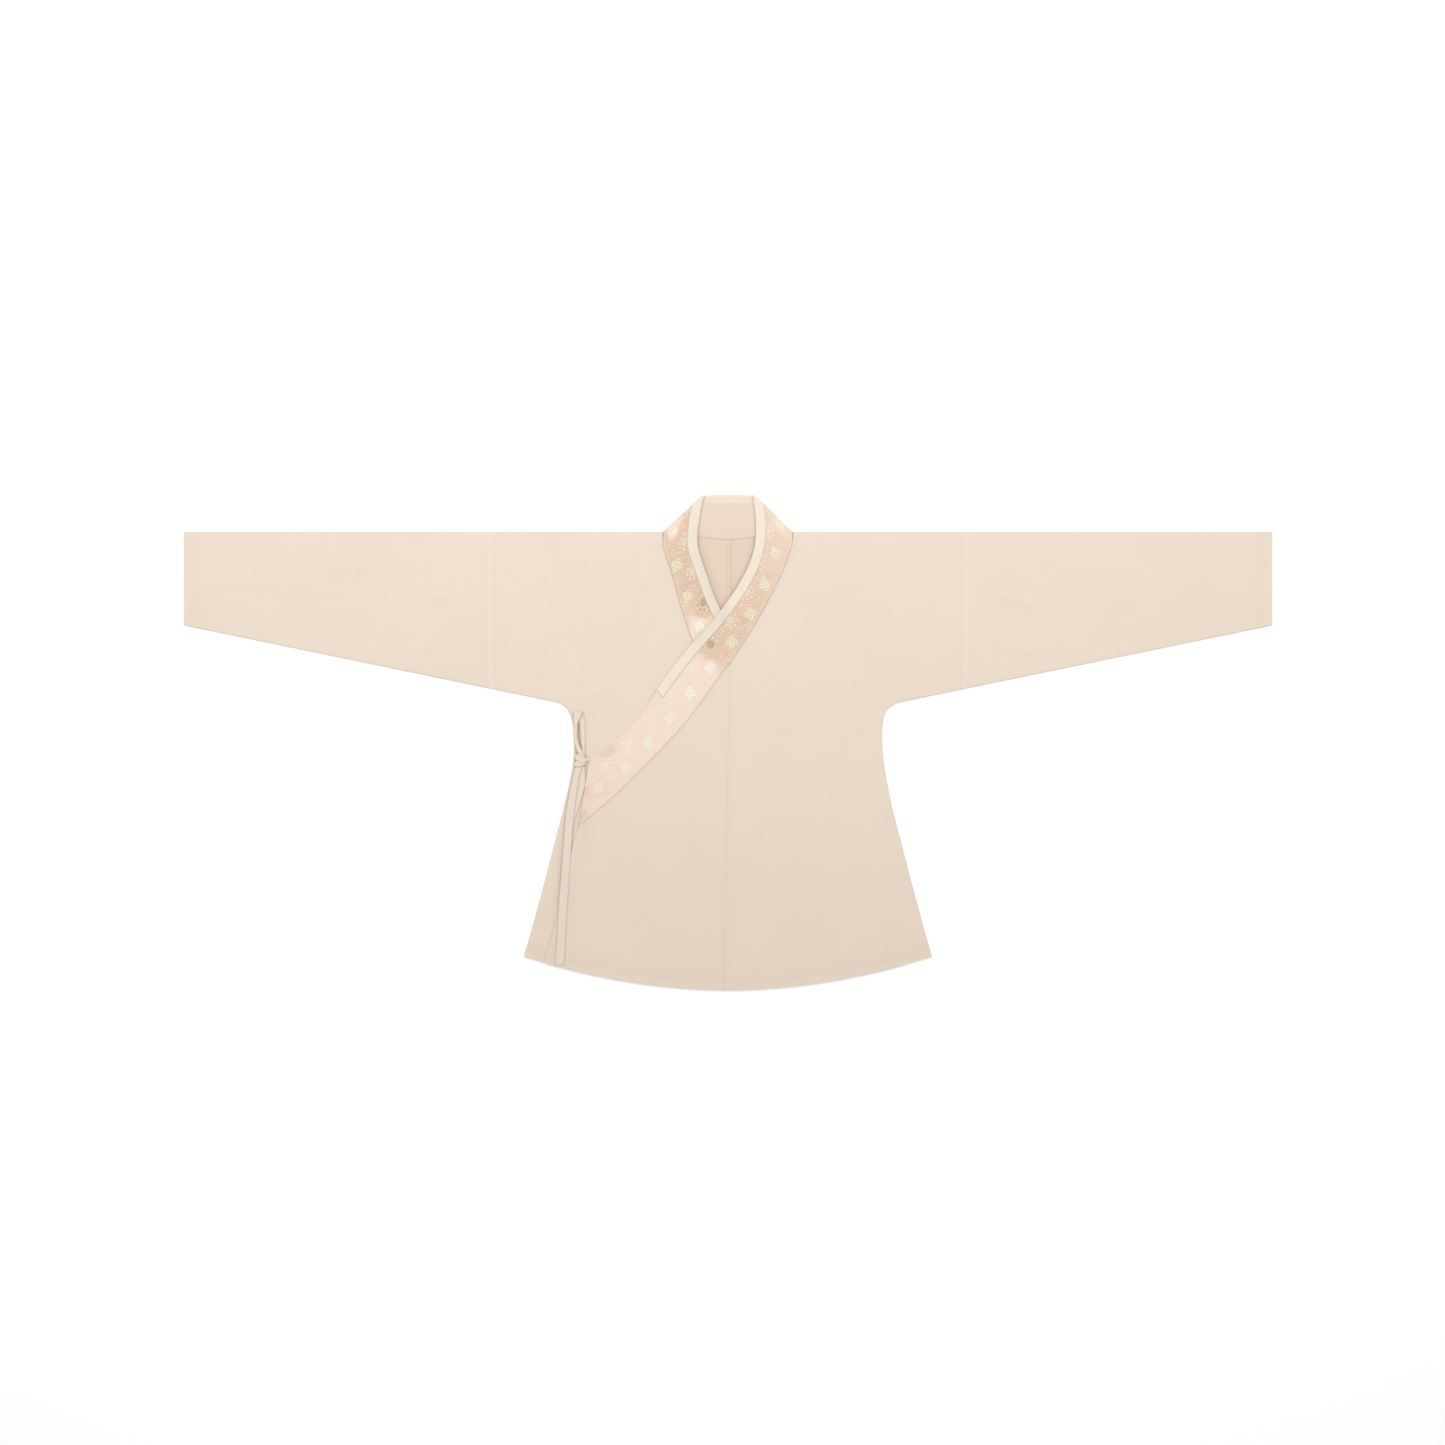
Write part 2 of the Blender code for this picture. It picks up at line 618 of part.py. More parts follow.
def outer_overlap():
    """From the centre-front seam to the free edge, under the collar's seam edge at the top."""
    collar = offset(seam_line(COLLAR_OUTER), -SEAM_GAP)
    start = cut_at_x(collar, CENTRE_FRONT[0][0] - SEAM_GAP / 2)
    collar = np.vstack([start[-1:], collar[len(start) - 1:]])
    collar[-1] = collar[-1] + (TIP_CLEARANCE, -SEAM_GAP)
    free = resample(edge_line(OUTER_EDGE)[1:], 2 * EDGE_SPACING)
    low_x = centre_front_x(HEM_CENTRE_Y) - SEAM_GAP / 2
    hem = hem_line(free[-1][0], low_x)[1:]
    heights = np.linspace(hem[-1][1], collar[0][1], CENTRE_CELLS + 1)[1:-1]
    centre = [(centre_front_x(y) - SEAM_GAP / 2, y) for y in heights]
    outline = np.vstack([collar, free, hem, centre])
    return flat_panel("outer_overlap", outline, FRONT_SPACING, lambda p: np.full(len(p), OVER_LOW))


def inner_overlap():
    """From the centre to the inner free edge, hidden under the outer front."""
    collar = offset(seam_line(COLLAR_INNER), SEAM_GAP)
    start = cut_at_x(collar, SEAM_GAP / 2)
    collar = np.vstack([start[-1:], collar[len(start) - 1:]])
    collar[-1] = collar[-1] - (TIP_CLEARANCE, SEAM_GAP)
    free = resample(edge_line(INNER_EDGE)[1:], 2 * EDGE_SPACING)
    hem = hem_line(free[-1][0], SEAM_GAP / 2)[1:]
    heights = np.linspace(hem[-1][1], collar[0][1], INNER_CENTRE_CELLS + 1)[1:-1]
    centre = [(SEAM_GAP / 2, y) for y in heights]
    outline = np.vstack([collar, free, hem, centre])
    return flat_panel("inner_overlap", outline, 2 * FRONT_SPACING, lambda p: np.full(len(p), FRONT_LOW))


def sleeve(name, side):
    """Sleeve extension: a flat tube from the sleeve seam to the cuff."""
    arcs = [(math.sin(a), math.cos(a)) for a in ARC_ANGLES]
    outer, inner = [], []
    for share in np.linspace(0.0, 1.0, SLEEVE_ROWS + 1):
        top_x = mix(SEAM_TOP_X + SEAM_GAP / 2, CUFF_X, share)
        low_x = mix(SEAM_LOW_X + SEAM_GAP / 2, CUFF_X, share)
        top_y, low_y = SHOULDER_Y - FOLD_RADIUS, underarm_y(low_x) + FOLD_RADIUS
        front = np.linspace(0.0, 1.0, SLEEVE_FRONT_CELLS + 1)
        back = np.linspace(1.0, 0.0, SLEEVE_BACK_CELLS + 1)
        middle = FOLD_RADIUS
        row_outer, row_inner = [], []
        plan = np.column_stack([mix(top_x, low_x, front), mix(top_y, low_y, front)])
        lift = fold_height(plan, SLEEVE_FOLDS)
        lift[[0, -1]] = 0.0
        for (x, y), up in zip(plan, lift):
            row_outer.append((side * x, y, FRONT_TOP + up))
            row_inner.append((side * x, y, FRONT_LOW + up))
        for reach, rise in arcs:
            row_outer.append((side * low_x, low_y - FOLD_RADIUS * reach, middle + FOLD_RADIUS * rise))
            row_inner.append((side * low_x, low_y - LAYER_GAP / 2 * reach, middle + LAYER_GAP / 2 * rise))
        for t in back:
            x, y = mix(top_x, low_x, t), mix(top_y, low_y, t)
            row_outer.append((side * x, y, 0.0))
            row_inner.append((side * x, y, WALL))
        for reach, rise in arcs:
            row_outer.append((side * top_x, top_y + FOLD_RADIUS * reach, middle - FOLD_RADIUS * rise))
            row_inner.append((side * top_x, top_y + LAYER_GAP / 2 * reach, middle - LAYER_GAP / 2 * rise))
        outer.append(row_outer)
        inner.append(row_inner)
    outer, inner = np.array(outer), np.array(inner)
    if side < 0:
        outer, inner = outer[::-1], inner[::-1]
    return grid_wall(name, outer, inner, BEIGE, closed=True)


class BandLine:
    """One line across the collar band: its ends in plan, and how the band lies there."""

    def __init__(self, neck, seam, out, turn, rest=None, lift=None, seam_low=None):
        self.neck = np.asarray(neck, float)
        self.seam = np.asarray(seam, float)
        self.out = np.asarray(out, float)
        self.turn = turn
        self.rest = rest
        self.lift = lift
        self.seam_low = seam_low
        self.length = float(np.linalg.norm(self.seam - self.neck))
        self.along = (self.seam - self.neck) / self.length
        self.skew = 1.0

    def plan(self, distance, reach):
        return self.neck + self.along * distance + self.out * reach

    def brocade(self, share, face):
        """A point of the brocade: face 0 is its outer face and 1 its inner face."""
        rise = smooth((share - GUARD_SHARE) / (1.0 - GUARD_SHARE))
        distance = mix(BROCADE_INSET * self.skew, self.length, share)
        if self.turn is None:
            low = mix(self.rest + self.lift, self.seam_low, rise)
            return np.append(self.plan(distance, 0.0), low + BAND * (1.0 - face))
        depth = (BAND + BAND_GAP) * (1.0 - rise) + BAND * face
        axis = mix(NECK_AXIS, SEAM_AXIS, rise)
        reach = (axis - depth) * math.sin(self.turn)
        return np.append(self.plan(distance, reach), axis - (axis - depth) * math.cos(self.turn))

    def guard(self, distance, depth):
        """A point of the guard at a distance from the neck edge and a depth from its outer face."""
        distance = distance * self.skew
        if self.turn is None:
            return np.append(self.plan(distance, 0.0), self.rest + GUARD_STACK - depth)
        reach = (NECK_AXIS - depth) * math.sin(self.turn)
        return np.append(self.plan(distance, reach), NECK_AXIS - (NECK_AXIS - depth) * math.cos(self.turn))


def corner_out(rows):
    """Outward direction of the fold at a shoulder corner of the collar."""
    neck, seam = neck_line(rows)[0], seam_line(rows)[0]
    along = (seam - neck) / np.linalg.norm(seam - neck)
    out = np.array((-along[1], along[0]))
    return out if out[1] > 0 else -out


def front_lines(rows):
    """The lines of one front part of the collar, from its shoulder corner to its tip."""
    seams = seam_line(rows)
    lows = np.full(len(rows), FRONT_LOW) if rows is COLLAR_INNER else outer_front_low(seams)
    lines = []
    for number, (row, low) in enumerate(zip(rows, lows)):
        seam_low = 2 * SEAM_AXIS - BAND if number == 0 else low + SEAM_LIFT
        neck, seam = (row.neck_x * MM, row.neck_y * MM), (row.seam_x * MM, row.seam_y * MM)
        lines.append(BandLine(neck, seam, (0.0, 0.0), None, row.rest * MM, row.lift * MM, seam_low))
    set_skew(lines, tangents([line.neck for line in lines]))
    return lines


def set_skew(lines, ways):
    """How much longer the guard's width is along each line than square to the neck edge's way."""
    for line, way in zip(lines, ways):
        line.skew = 1.0 / abs(way[0] * line.along[1] - way[1] * line.along[0])


def back_lines():
    """The lines of the back collar between the two shoulder corners, from the wearer's right to the left."""
    lines = []
    first, last = neck_line(COLLAR_INNER)[0], neck_line(COLLAR_OUTER)[0]
    for number, seam in enumerate(back_seam_line()):
        neck = mix(first, last, number / BACK_STEPS)
        if 0 < number < BACK_STEPS:
            neck[1] = NECK_TOP_Y
        lines.append(BandLine(neck, seam, (0.0, 1.0), 0.0))
    set_skew(lines, np.tile((1.0, 0.0), (len(lines), 1)))
    return lines


def roll_lines(rows, skew):
    """Lines that turn the band over at a shoulder corner, from the back to the front."""
    neck, seam = neck_line(rows)[0], seam_line(rows)[0]
    lines = []
    for step in range(1, ROLL_STEPS):
        lines.append(BandLine(neck, seam, corner_out(rows), math.pi * step / ROLL_STEPS))
        lines[-1].skew = skew
    return lines


def collar_lines():
    """Every line of the band from the inner tip over the back neck to the outer tip."""
    inner, back, outer = front_lines(COLLAR_INNER), back_lines(), front_lines(COLLAR_OUTER)
    for front, end in ((inner, back[0]), (outer, back[-1])):
        even = (front[0].skew + end.skew) / 2
        front[0].skew = end.skew = even
    rolls = [roll_lines(COLLAR_INNER, inner[0].skew), roll_lines(COLLAR_OUTER, outer[0].skew)]
    return inner, rolls[0], back, rolls[1], outer


def between(first, second, share):
    """A line of a front part between two others."""
    line = BandLine(
        mix(first.neck, second.neck, share), mix(first.seam, second.seam, share), (0.0, 0.0), None,
        mix(first.rest, second.rest, share), mix(first.lift, second.lift, share),
        mix(first.seam_low, second.seam_low, share),
    )
    line.skew = mix(first.skew, second.skew, share)
    return line


def collar():
    """The brocade band, folded over at both shoulder corners."""
    inner, roll_in, back, roll_out, outer = collar_lines()
    lines = inner[::-1] + roll_in[::-1] + back + roll_out + outer
    outside = np.array([[line.brocade(t, 0.0) for t in ACROSS] for line in lines])
    within = np.array([[line.brocade(t, 1.0) for t in ACROSS] for line in lines])
    return grid_wall("collar", outside, within, BROCADE)


def guard_section(line, inside_width):
    """Outer and inner face of the guard across one line: leg, bend round the neck edge, leg."""
    bend, root = GUARD_BEND, GUARD_BEND - BAND
    outer = [(GUARD_OUTSIDE, 0.0)]
    within = [(GUARD_OUTSIDE, BAND)]
    for angle in np.linspace(0.0, math.pi, GUARD_BEND_STEPS + 1):
        outer.append((bend - bend * math.sin(angle), bend - bend * math.cos(angle)))
        within.append((bend - root * math.sin(angle), bend - root * math.cos(angle)))
    outer.append((inside_width, GUARD_STACK))
    within.append((inside_width, GUARD_STACK - BAND))
    return [line.guard(*p) for p in outer], [line.guard(*p) for p in within]


def collar_guard():
    """The plain strip folded round the collar's neck edge."""
    inner, roll_in, back, roll_out, outer = collar_lines()
    whole = int(GUARD_INNER_END)
    end = between(inner[whole], inner[whole + 1], GUARD_INNER_END - whole)
    lines = [end] + inner[:whole + 1][::-1] + roll_in[::-1] + back + roll_out + outer[:GUARD_OUTER_END + 1]
    shown = back[1:-1]
    sections = [guard_section(line, GUARD_INSIDE if line in shown else GUARD_TUCKED) for line in lines]
    outside = np.array([section[0] for section in sections])
    within = np.array([section[1] for section in sections])
    return grid_wall("collar_guard", outside, within, CREAM)


def collar_facing():
    """The inside of the back collar between the two front parts."""
    faces = []
    for face in (1.0, 0.0):
        grid = []
        for across in np.linspace(-1.0, 1.0, FACING_COLUMNS):
            column = []
            for down in np.linspace(0.0, 1.0, FACING_ROWS + 1):
                x = across * mix(FACING_TOP_X, FACING_LOW_X, down)
                low_y = back_neck_y(x)
                y = mix(FACING_TOP_Y, low_y, down)
                share = (NECK_TOP_Y - BROCADE_INSET - y) / (NECK_TOP_Y - low_y)
                rise = smooth((share - GUARD_SHARE) / (1.0 - GUARD_SHARE))
                low = (BAND + BAND_GAP) * (2.0 - rise)
                column.append((x, y, low + BAND * face))
            grid.append(column)
        faces.append(np.array(grid)[:, ::-1])
    return grid_wall("collar_facing", faces[0], faces[1], BEIGE)


def ribbon(name, path, width_way, widths):
    """A flat ribbon along a path: its width lies along the given directions."""
    path, way = np.asarray(path, float), np.asarray(width_way, float)
    thick = np.cross(tangents(path), way)
    thick /= np.linalg.norm(thick, axis=1)[:, None]
    half = np.asarray(widths, float)[:, None] / 2
    faces = []
    for sign in (-1.0, 1.0):
        middle = path + thick * sign * BAND / 2
        faces.append(np.stack([middle - way * half, middle + way * half], axis=1))
    return grid_wall(name, faces[0], faces[1], BEIGE)


def side_tie():
    """Sewn end, up through the knot, loop, back through the knot and down to the hem."""
    centres, ways, widths = [], [], []

    def lay(rows):
        line = np.array([(r.x, r.y, r.z + BAND / MM / 2) for r in rows]) * MM
        return line, tangents(line[:, :2])

    under, step_under = lay(SIDE_TIE_UNDER)
    over, step_over = lay(SIDE_TIE_OVER)
    for (x, y, z), (dx, dy), row in zip(under, step_under, SIDE_TIE_UNDER):
        centres.append((x, y, z))
        ways.append((-dy, dx, 0.0))
        widths.append(row.width * MM)
    start, end = under[-1], over[0]
    radius = (end[2] - start[2]) / 2
    for number in range(1, LOOP_STEPS):
        angle = math.pi * number / LOOP_STEPS
        x = mix(start[0], end[0], number / LOOP_STEPS)
        centres.append((x, start[1] + radius * math.sin(angle), start[2] + radius * (1 - math.cos(angle))))
        ways.append(ways[len(SIDE_TIE_UNDER) - 1])
        widths.append(SIDE_TIE_OVER[0].width * MM)
    for (x, y, z), (dx, dy), row in zip(over, step_over, SIDE_TIE_OVER):
        centres.append((x, y, z))
        ways.append((dy, -dx, 0.0))
        widths.append(row.width * MM)
    return ribbon("side_tie", centres, ways, widths)


def collar_tie():
    """From the collar's corner round the other tie as its knot."""
    half, corner = KNOT_HALF_WIDTH, KNOT_CORNER
    loop = []
    for cx, cz, start in (
        (half - corner, KNOT_HIGH - corner, 0.0),
        (-half + corner, KNOT_HIGH - corner, math.pi / 2),
        (-half + corner, KNOT_LOW + corner, math.pi),
        (half - corner, KNOT_LOW + corner, 3 * math.pi / 2),
    ):
        for share in (0.0, 0.5, 1.0):
            angle = start + share * math.pi / 2
            loop.append((cx + corner * math.cos(angle), cz + corner * math.sin(angle)))
    loop = np.array(loop)
    closed = np.vstack([loop, loop[:1]])
    lengths = np.r_[0.0, np.cumsum(np.linalg.norm(np.diff(closed, axis=0), axis=1))]
    around = lengths[-1]
    path = [
        (TIE_START_X, KNOT_TOP_Y, TIE_START_Z),
        (TIE_START_X - TIE_RUN, KNOT_TOP_Y, TIE_START_Z + TIE_RISE),
    ]
    total = KNOT_TURNS * len(loop)
    for number in range(int(total) + 1):
        turn, point = divmod(number, len(loop))
        share = turn + lengths[point] / around
        x, z = loop[point]
        path.append((KNOT_X + x, KNOT_TOP_Y - KNOT_PITCH * share, z))
    ways = np.tile((0.0, 1.0, 0.0), (len(path), 1))
    return ribbon("collar_tie", path, ways, np.full(len(path), KNOT_BAND))


def main():
    for old in list(bpy.data.objects):
        bpy.data.objects.remove(old, do_unlink=True)
    body_half("right_body", -1.0)
    body_half("left_body", 1.0)
    sleeve("right_sleeve", -1.0)
    sleeve("left_sleeve", 1.0)
    outer_overlap()
    inner_overlap()
    collar()
    collar_facing()
    collar_guard()
    side_tie()
    collar_tie()


main()
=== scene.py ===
"""Looks of a cross-collar hanfu jacket laid flat on its back: cloth, sewing, finishes, light and camera.

Frame: x to the wearer's left, y toward the head, z up, the back of the garment on z = 0. The tables are
written in millimetres and everything else is in metres. Each piece of cloth is a thin shell on its solid's
form.
"""
import logging
import math
from dataclasses import dataclass, field
from enum import Enum
from functools import partialmethod
from typing import Sequence

import bmesh
import bpy
import numpy as np
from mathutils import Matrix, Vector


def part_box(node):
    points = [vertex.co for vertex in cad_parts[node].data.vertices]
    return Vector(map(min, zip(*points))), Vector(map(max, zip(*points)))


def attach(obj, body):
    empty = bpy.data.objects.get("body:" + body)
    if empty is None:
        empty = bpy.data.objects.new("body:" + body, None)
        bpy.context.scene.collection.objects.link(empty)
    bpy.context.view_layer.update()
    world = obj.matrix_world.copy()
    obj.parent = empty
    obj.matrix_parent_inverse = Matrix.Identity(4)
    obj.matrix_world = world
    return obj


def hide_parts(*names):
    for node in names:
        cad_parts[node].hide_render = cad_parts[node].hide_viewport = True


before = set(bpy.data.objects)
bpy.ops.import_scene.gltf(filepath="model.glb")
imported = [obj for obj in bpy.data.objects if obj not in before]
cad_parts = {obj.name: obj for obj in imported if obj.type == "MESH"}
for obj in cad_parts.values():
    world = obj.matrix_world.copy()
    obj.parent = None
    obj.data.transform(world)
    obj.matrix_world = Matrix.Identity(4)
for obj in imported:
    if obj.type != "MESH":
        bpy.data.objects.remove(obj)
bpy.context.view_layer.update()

LOG = logging.getLogger("hanfu")

Array = np.ndarray
Socket = bpy.types.NodeSocket
Pair = tuple[float, float]
Triple = tuple[float, float, float]
MM = 0.001
FAR = 50 * MM
WELD = 0.02 * MM
# The marks: distance to a sewn edge, distance to a turned edge, and painted light and shade.
MARKS = ("sewn", "turned", "painted_shading")
NECK, SEAM, REST, LIFT = slice(0, 2), slice(2, 4), 4, 5
BACK_ROW, ROLL_ROW = -2.0, -1.0


class Side(Enum):
    """The wearer's two sides, as the sign of x."""

    RIGHT = -1.0
    LEFT = 1.0


class Slot(Enum):
    """The record's material slots."""

    PLAIN = "plain_cloth"
    BROCADE = "brocade"
    GUARD = "guard_cloth"


# The body's sides: height, then the distance from the middle on the wearer's right and on the left.
SIDE_ROWS = np.array((
    (60, 273.1, 272.6), (53.5, 267.9, 265.8), (43.5, 263.3, 261), (31.5, 260.1, 259), (16.7, 258.7, 257.8),
    (-6, 257.7, 258.1), (-30, 258.8, 260.1), (-60, 263.6, 264.8), (-97, 271.9, 271.8), (-140, 282.7, 282.4),
    (-185, 294.3, 294), (-230, 305.9, 305.6), (-275, 317.9, 317.8), (-318, 329.7, 329.4),
    (-358.9, 341.7, 341.4),
)) * MM

# Free edges of the fronts, from the collar's tip down: x, y.
OUTER_EDGE = np.array((
    (-249.9, -140.4), (-264.3, -192.4), (-284.4, -284.4), (-307.8, -368.1),
)) * MM
INNER_EDGE = np.array((
    (190.7, -112.1), (217.5, -230.9), (249.3, -379.8),
)) * MM

# Lines across the collar, from the shoulder down: x and y of its neck edge, x and y of its seam edge, the
# height it rests at and the guard's lift over it.
INNER_COLLAR = np.array((
    (-39.1, 412, -107.7, 350.8, 3.9, 1.3), (-44.2, 393.2, -108.6, 338.6, 3.9, 1.3),
    (-47.7, 371.4, -108.2, 326.2, 3.9, 1.3), (-50.7, 348, -104.4, 312, 3.5, 1.3),
    (-50.2, 326.2, -98.2, 293.6, 2.8, 1.3), (-44.8, 307, -91.7, 271.9, 2.3, 1.3),
    (-37.5, 286.1, -84.7, 247.6, 1.9, 1.3), (-29.6, 262.7, -77.6, 220.8, 1.7, 1.3),
    (-21.4, 240.9, -69.9, 198.3, 1.6, 1.3), (-8.4, 214.1, -60.2, 171.5, 1.6, 1.3),
    (5, 190.7, -46.8, 149.7, 1.6, 1.3), (23.1, 160.6, -28.4, 123, 1.6, 0.05),
    (48.9, 129, 0, 86.2, 1.6, 0.05), (81.3, 88.7, 31.8, 46.8, 1.6, 0.05),
    (113.1, 52.7, 65.2, 8.4, 1.6, 0.05), (140.5, 23.4, 100.4, -26.8, 1.6, 0.05),
    (164, 1.7, 140.5, -65.2, 1.6, 0.05), (179, -13.4, 190.7, -112.1, 1.6, 0.05),
)) * MM
OUTER_COLLAR = np.array((
    (40.8, 412, 107.4, 350.8, 3.9, 1.3), (43.8, 393.2, 108, 338.6, 3.9, 1.3),
    (46.2, 371.4, 107.1, 328.7, 3.9, 1.3), (46.5, 349.7, 102.9, 315.4, 3.9, 1.3),
    (44.2, 327.1, 96.2, 297, 4, 1.3), (37.3, 302.8, 86.2, 273.5, 4.3, 1.3),
    (26.1, 278.1, 74.4, 250.1, 4.8, 1.3), (11.4, 253, 61.1, 224.2, 5.3, 1.3),
    (-5.9, 228.9, 44.8, 195.7, 5.6, 1.3), (-23.4, 206.1, 25.4, 165.1, 5.6, 1.3),
    (-43.5, 184.4, 5.9, 135.5, 5.2, 1.3), (-63.6, 160.6, -16.2, 106.7, 4.4, 1.3),
    (-82.8, 137.2, -35.1, 80, 3.7, 1.3), (-102.1, 111.3, -56, 51.9, 3.3, 1.3),
    (-118.8, 88.2, -74.1, 28.6, 3.2, 1.3), (-136.3, 61.6, -95.4, 5, 3.2, 0.05),
    (-158.1, 33.8, -119.6, -20.6, 3.2, 0.05), (-183.2, 7.9, -145.6, -46.5, 3.2, 0.05),
    (-208.3, -13.9, -174, -75, 3.2, 0.05), (-226.7, -26.8, -209.1, -106.6, 3.2, 0.05),
    (-232.2, -32.8, -249.9, -140.4, 3.2, 0.05),
)) * MM

# The ties: x, y and underside of the middle line, and width.
TIE_UNDER = np.array((
    (-265.2, -143.9, 3.1, 13), (-259.6, -120.5, 3.1, 13), (-252.6, -98.7, 3.1, 13), (-246.4, -77, 3.1, 13),
    (-243.8, -61.9, 3.6, 12), (-244.4, -48.5, 4.4, 11), (-245.6, -35.1, 4.4, 13), (-242.6, -22.6, 4.4, 8),
    (-241.8, -10, 3.9, 6), (-242.2, 3.3, 3.4, 7.4), (-243, 18.4, 3.1, 8.6), (-243.6, 33.5, 3.1, 10),
    (-249.6, 47.8, 3.1, 15),
)) * MM
TIE_OVER = np.array((
    (-251, 47.8, 5.4, 15), (-254.4, 33.5, 5.6, 8), (-254.9, 18.4, 5.8, 6.2), (-254.4, 5, 5.8, 6),
    (-250.9, -8.4, 5.9, 7.2), (-246.4, -18.4, 6.2, 8), (-243.4, -27, 6.2, 8), (-246.6, -37, 5.8, 11),
    (-251.4, -48, 5.7, 11), (-254.6, -60.2, 5.2, 11), (-257, -75.3, 4.5, 12.4), (-260.8, -97, 4.4, 13.4),
    (-265, -130.5, 4.4, 13.8), (-267.7, -164, 4.7, 13.8), (-271.4, -214.1, 4.7, 14.2),
    (-275.2, -264.3, 4.7, 14.8), (-278.6, -322.9, 4.7, 15), (-281.2, -372.4, 4.7, 15.6),
)) * MM
KNOT = np.array((
    (-232.6, -28.6, 3.9, 7), (-235.6, -28.8, 4.9, 7.6), (-238, -29.8, 7, 8.4), (-240.6, -30.2, 8.4, 9.6),
    (-243.6, -29, 8.8, 10.6), (-247.4, -27.2, 8.9, 11.2), (-251.2, -25.8, 8.5, 10.8),
    (-254, -25.2, 7.4, 9.6), (-255, -26.2, 5.6, 8), (-252.6, -28.4, 3.9, 7.4), (-246, -31.4, 3.6, 7.4),
    (-239.4, -33.6, 3.9, 7.4), (-237.8, -34, 5.4, 7.6), (-239.4, -33.8, 6.9, 8), (-243, -34.8, 8, 9.4),
    (-247, -36, 8.3, 10.6), (-251, -36.4, 8, 10.8), (-254.2, -36.2, 6.9, 10), (-255.2, -36.8, 5.2, 8.4),
    (-253.2, -38.2, 3.9, 7.2), (-248, -38.6, 3.6, 7.2),
)) * MM

# How far the satin turns from the light, by the run along the band from the centre back.
SATIN_TURN = np.array((
    (-600, 0.2), (-262, 0.14), (-240, 0.76), (-190, 0.72), (-140, 0.7), (-90, 0.5), (0, 0.3), (70, 0.18),
    (110, 0.3), (150, 0.3), (190, 0.37), (240, 0.48), (290, 0.6), (322, 0.5), (346, 0.22), (364, 0.04),
    (520, 0.05), (560, 0.1), (590, 0.11), (625, 0.12), (660, 0.2),
))

# How far a straight thread of the brocade lies from the neck edge, by the same run.
GRAIN_DRIFT = np.array((
    (-280, 1.5), (-150, 4), (-128, -0.8), (-86, -17), (76, -15), (102, -1), (140, 10), (190, 9.5),
    (245, 4.4), (304, -0.6), (354, -1.5), (402, -3), (450, -1), (491, 4.5), (530, 4.8), (570, 3.5), (600, 1),
    (625, -3.8),
)) * MM

# Painted satin light and shade in soft round spots: side, x, y, radius, strength (below 0 toward the light).
SATIN_SPOTS = np.array((
    (-1, -78, 352, 17, 0.2), (-1, -91.5, 355, 10, -0.9), (-1, -84, 372, 9, -0.5), (-1, -64, 388, 12, 0.1),
    (-1, -57, 262, 15, 0.2), (-1, -40, 226, 15, 0.55), (-1, -72, 230, 13, -0.45), (-1, -61, 207, 13, -0.55),
    (-1, -48.5, 193, 14, -0.5), (1, 88, 364, 14, -0.15), (1, -30, 160, 14, 0.8), (1, 0, 168, 12, 0.05),
    (1, -62, 82, 13, -0.4), (1, -29, 124, 10, -0.35), (1, -16, 143, 10, 0.05), (1, -206, -22, 7, 0.28),
    (1, -194, -14, 7, 0.3), (1, -214, -80, 13, 0.14), (1, -241, -84, 9, 0.2), (1, -247, -122, 12, 0.28),
))

# Soft shades that a neighbour leaves on cloth: x and y of both ends, width, strength.
FRONT_SHADE = np.array((
    (-245.6, 49, -249.4, 34, 1.4, 0.28), (-249.4, 30, -246.4, -12, 3.6, 0.42),
    (-253.4, -8, -252.8, -22, 4, 0.14), (-262, -60, -271, -110, 6, 0.07), (-271, -110, -284, -290, 8, 0.06),
    (-284, -290, -290, -372, 8, 0.03), (-237, -42, -238.6, -82, 1.6, 0.22),
))
BACK_SHADE = np.array((
    (-50.7, 348, -47, 316, 7, 0.05), (-47, 316, -21.4, 240.9, 9, 0.11), (-21.4, 240.9, 5, 190.7, 9, 0.1),
    (46.5, 349.7, 37.3, 302.8, 4, 0.04), (37.3, 302.8, 11.4, 253, 5, 0.05),
    (11.4, 253, -5.9, 228.9, 6, 0.07),
))
GUARD_SHADE = np.array((
    (-48, 372, -49.5, 330, 14, 0.12), (-46, 310, -28, 255, 16, 0.17), (-24, 248, 2, 192, 16, 0.25),
    (-16, 215, -54, 174, 14, 0.22), (34, 300, 18, 266, 14, 0.08), (-36, 406, 38, 406, 9, 0.14),
    (-41, 399.8, -30, 401.2, 1.8, 0.3),
))

# Creases: x and y of both ends, bow, width, height (below 0 for a trough).
FRONT_CREASES = np.array((
    (-262, 152, -247, 92, 3, 6, 1.3), (-245, 150, -234, 104, -2, 5, 0.9), (-256, 78, -196, 98, 5, 8, 1.2),
    (-330, 110, -292, 158, 4, 8, 0.9), (-218, 168, -168, 226, -7, 14, 0.7), (252, 82, 206, 118, -5, 7, 1.3),
    (246, 66, 176, 2, -12, 8, 1), (262, 110, 246, 172, -4, 6, 1), (338, 106, 288, 150, 5, 8, 0.9),
    (197, -33, 214, -250, 5, 7, 0.7), (134, -201, 184, -362, 4, 6, 1.1), (214, -262, 246, -352, 3, 9, 0.8),
    (60, -30, 92, -170, -8, 20, 0.7), (-150, -60, -120, -262, 12, 24, 0.8),
    (-236, -196, -252, -322, -6, 10, 0.9), (-322, -300, -292, -214, 4, 9, 1.4),
    (-76, -290, -52, -392, 4, 14, 0.6), (-150, 300, -118, 250, 6, 14, 0.8),
    (126, 322, 118, 236, -7, 12, 0.8), (-118, 190, -128, 96, 8, 18, 0.7),
)) * MM
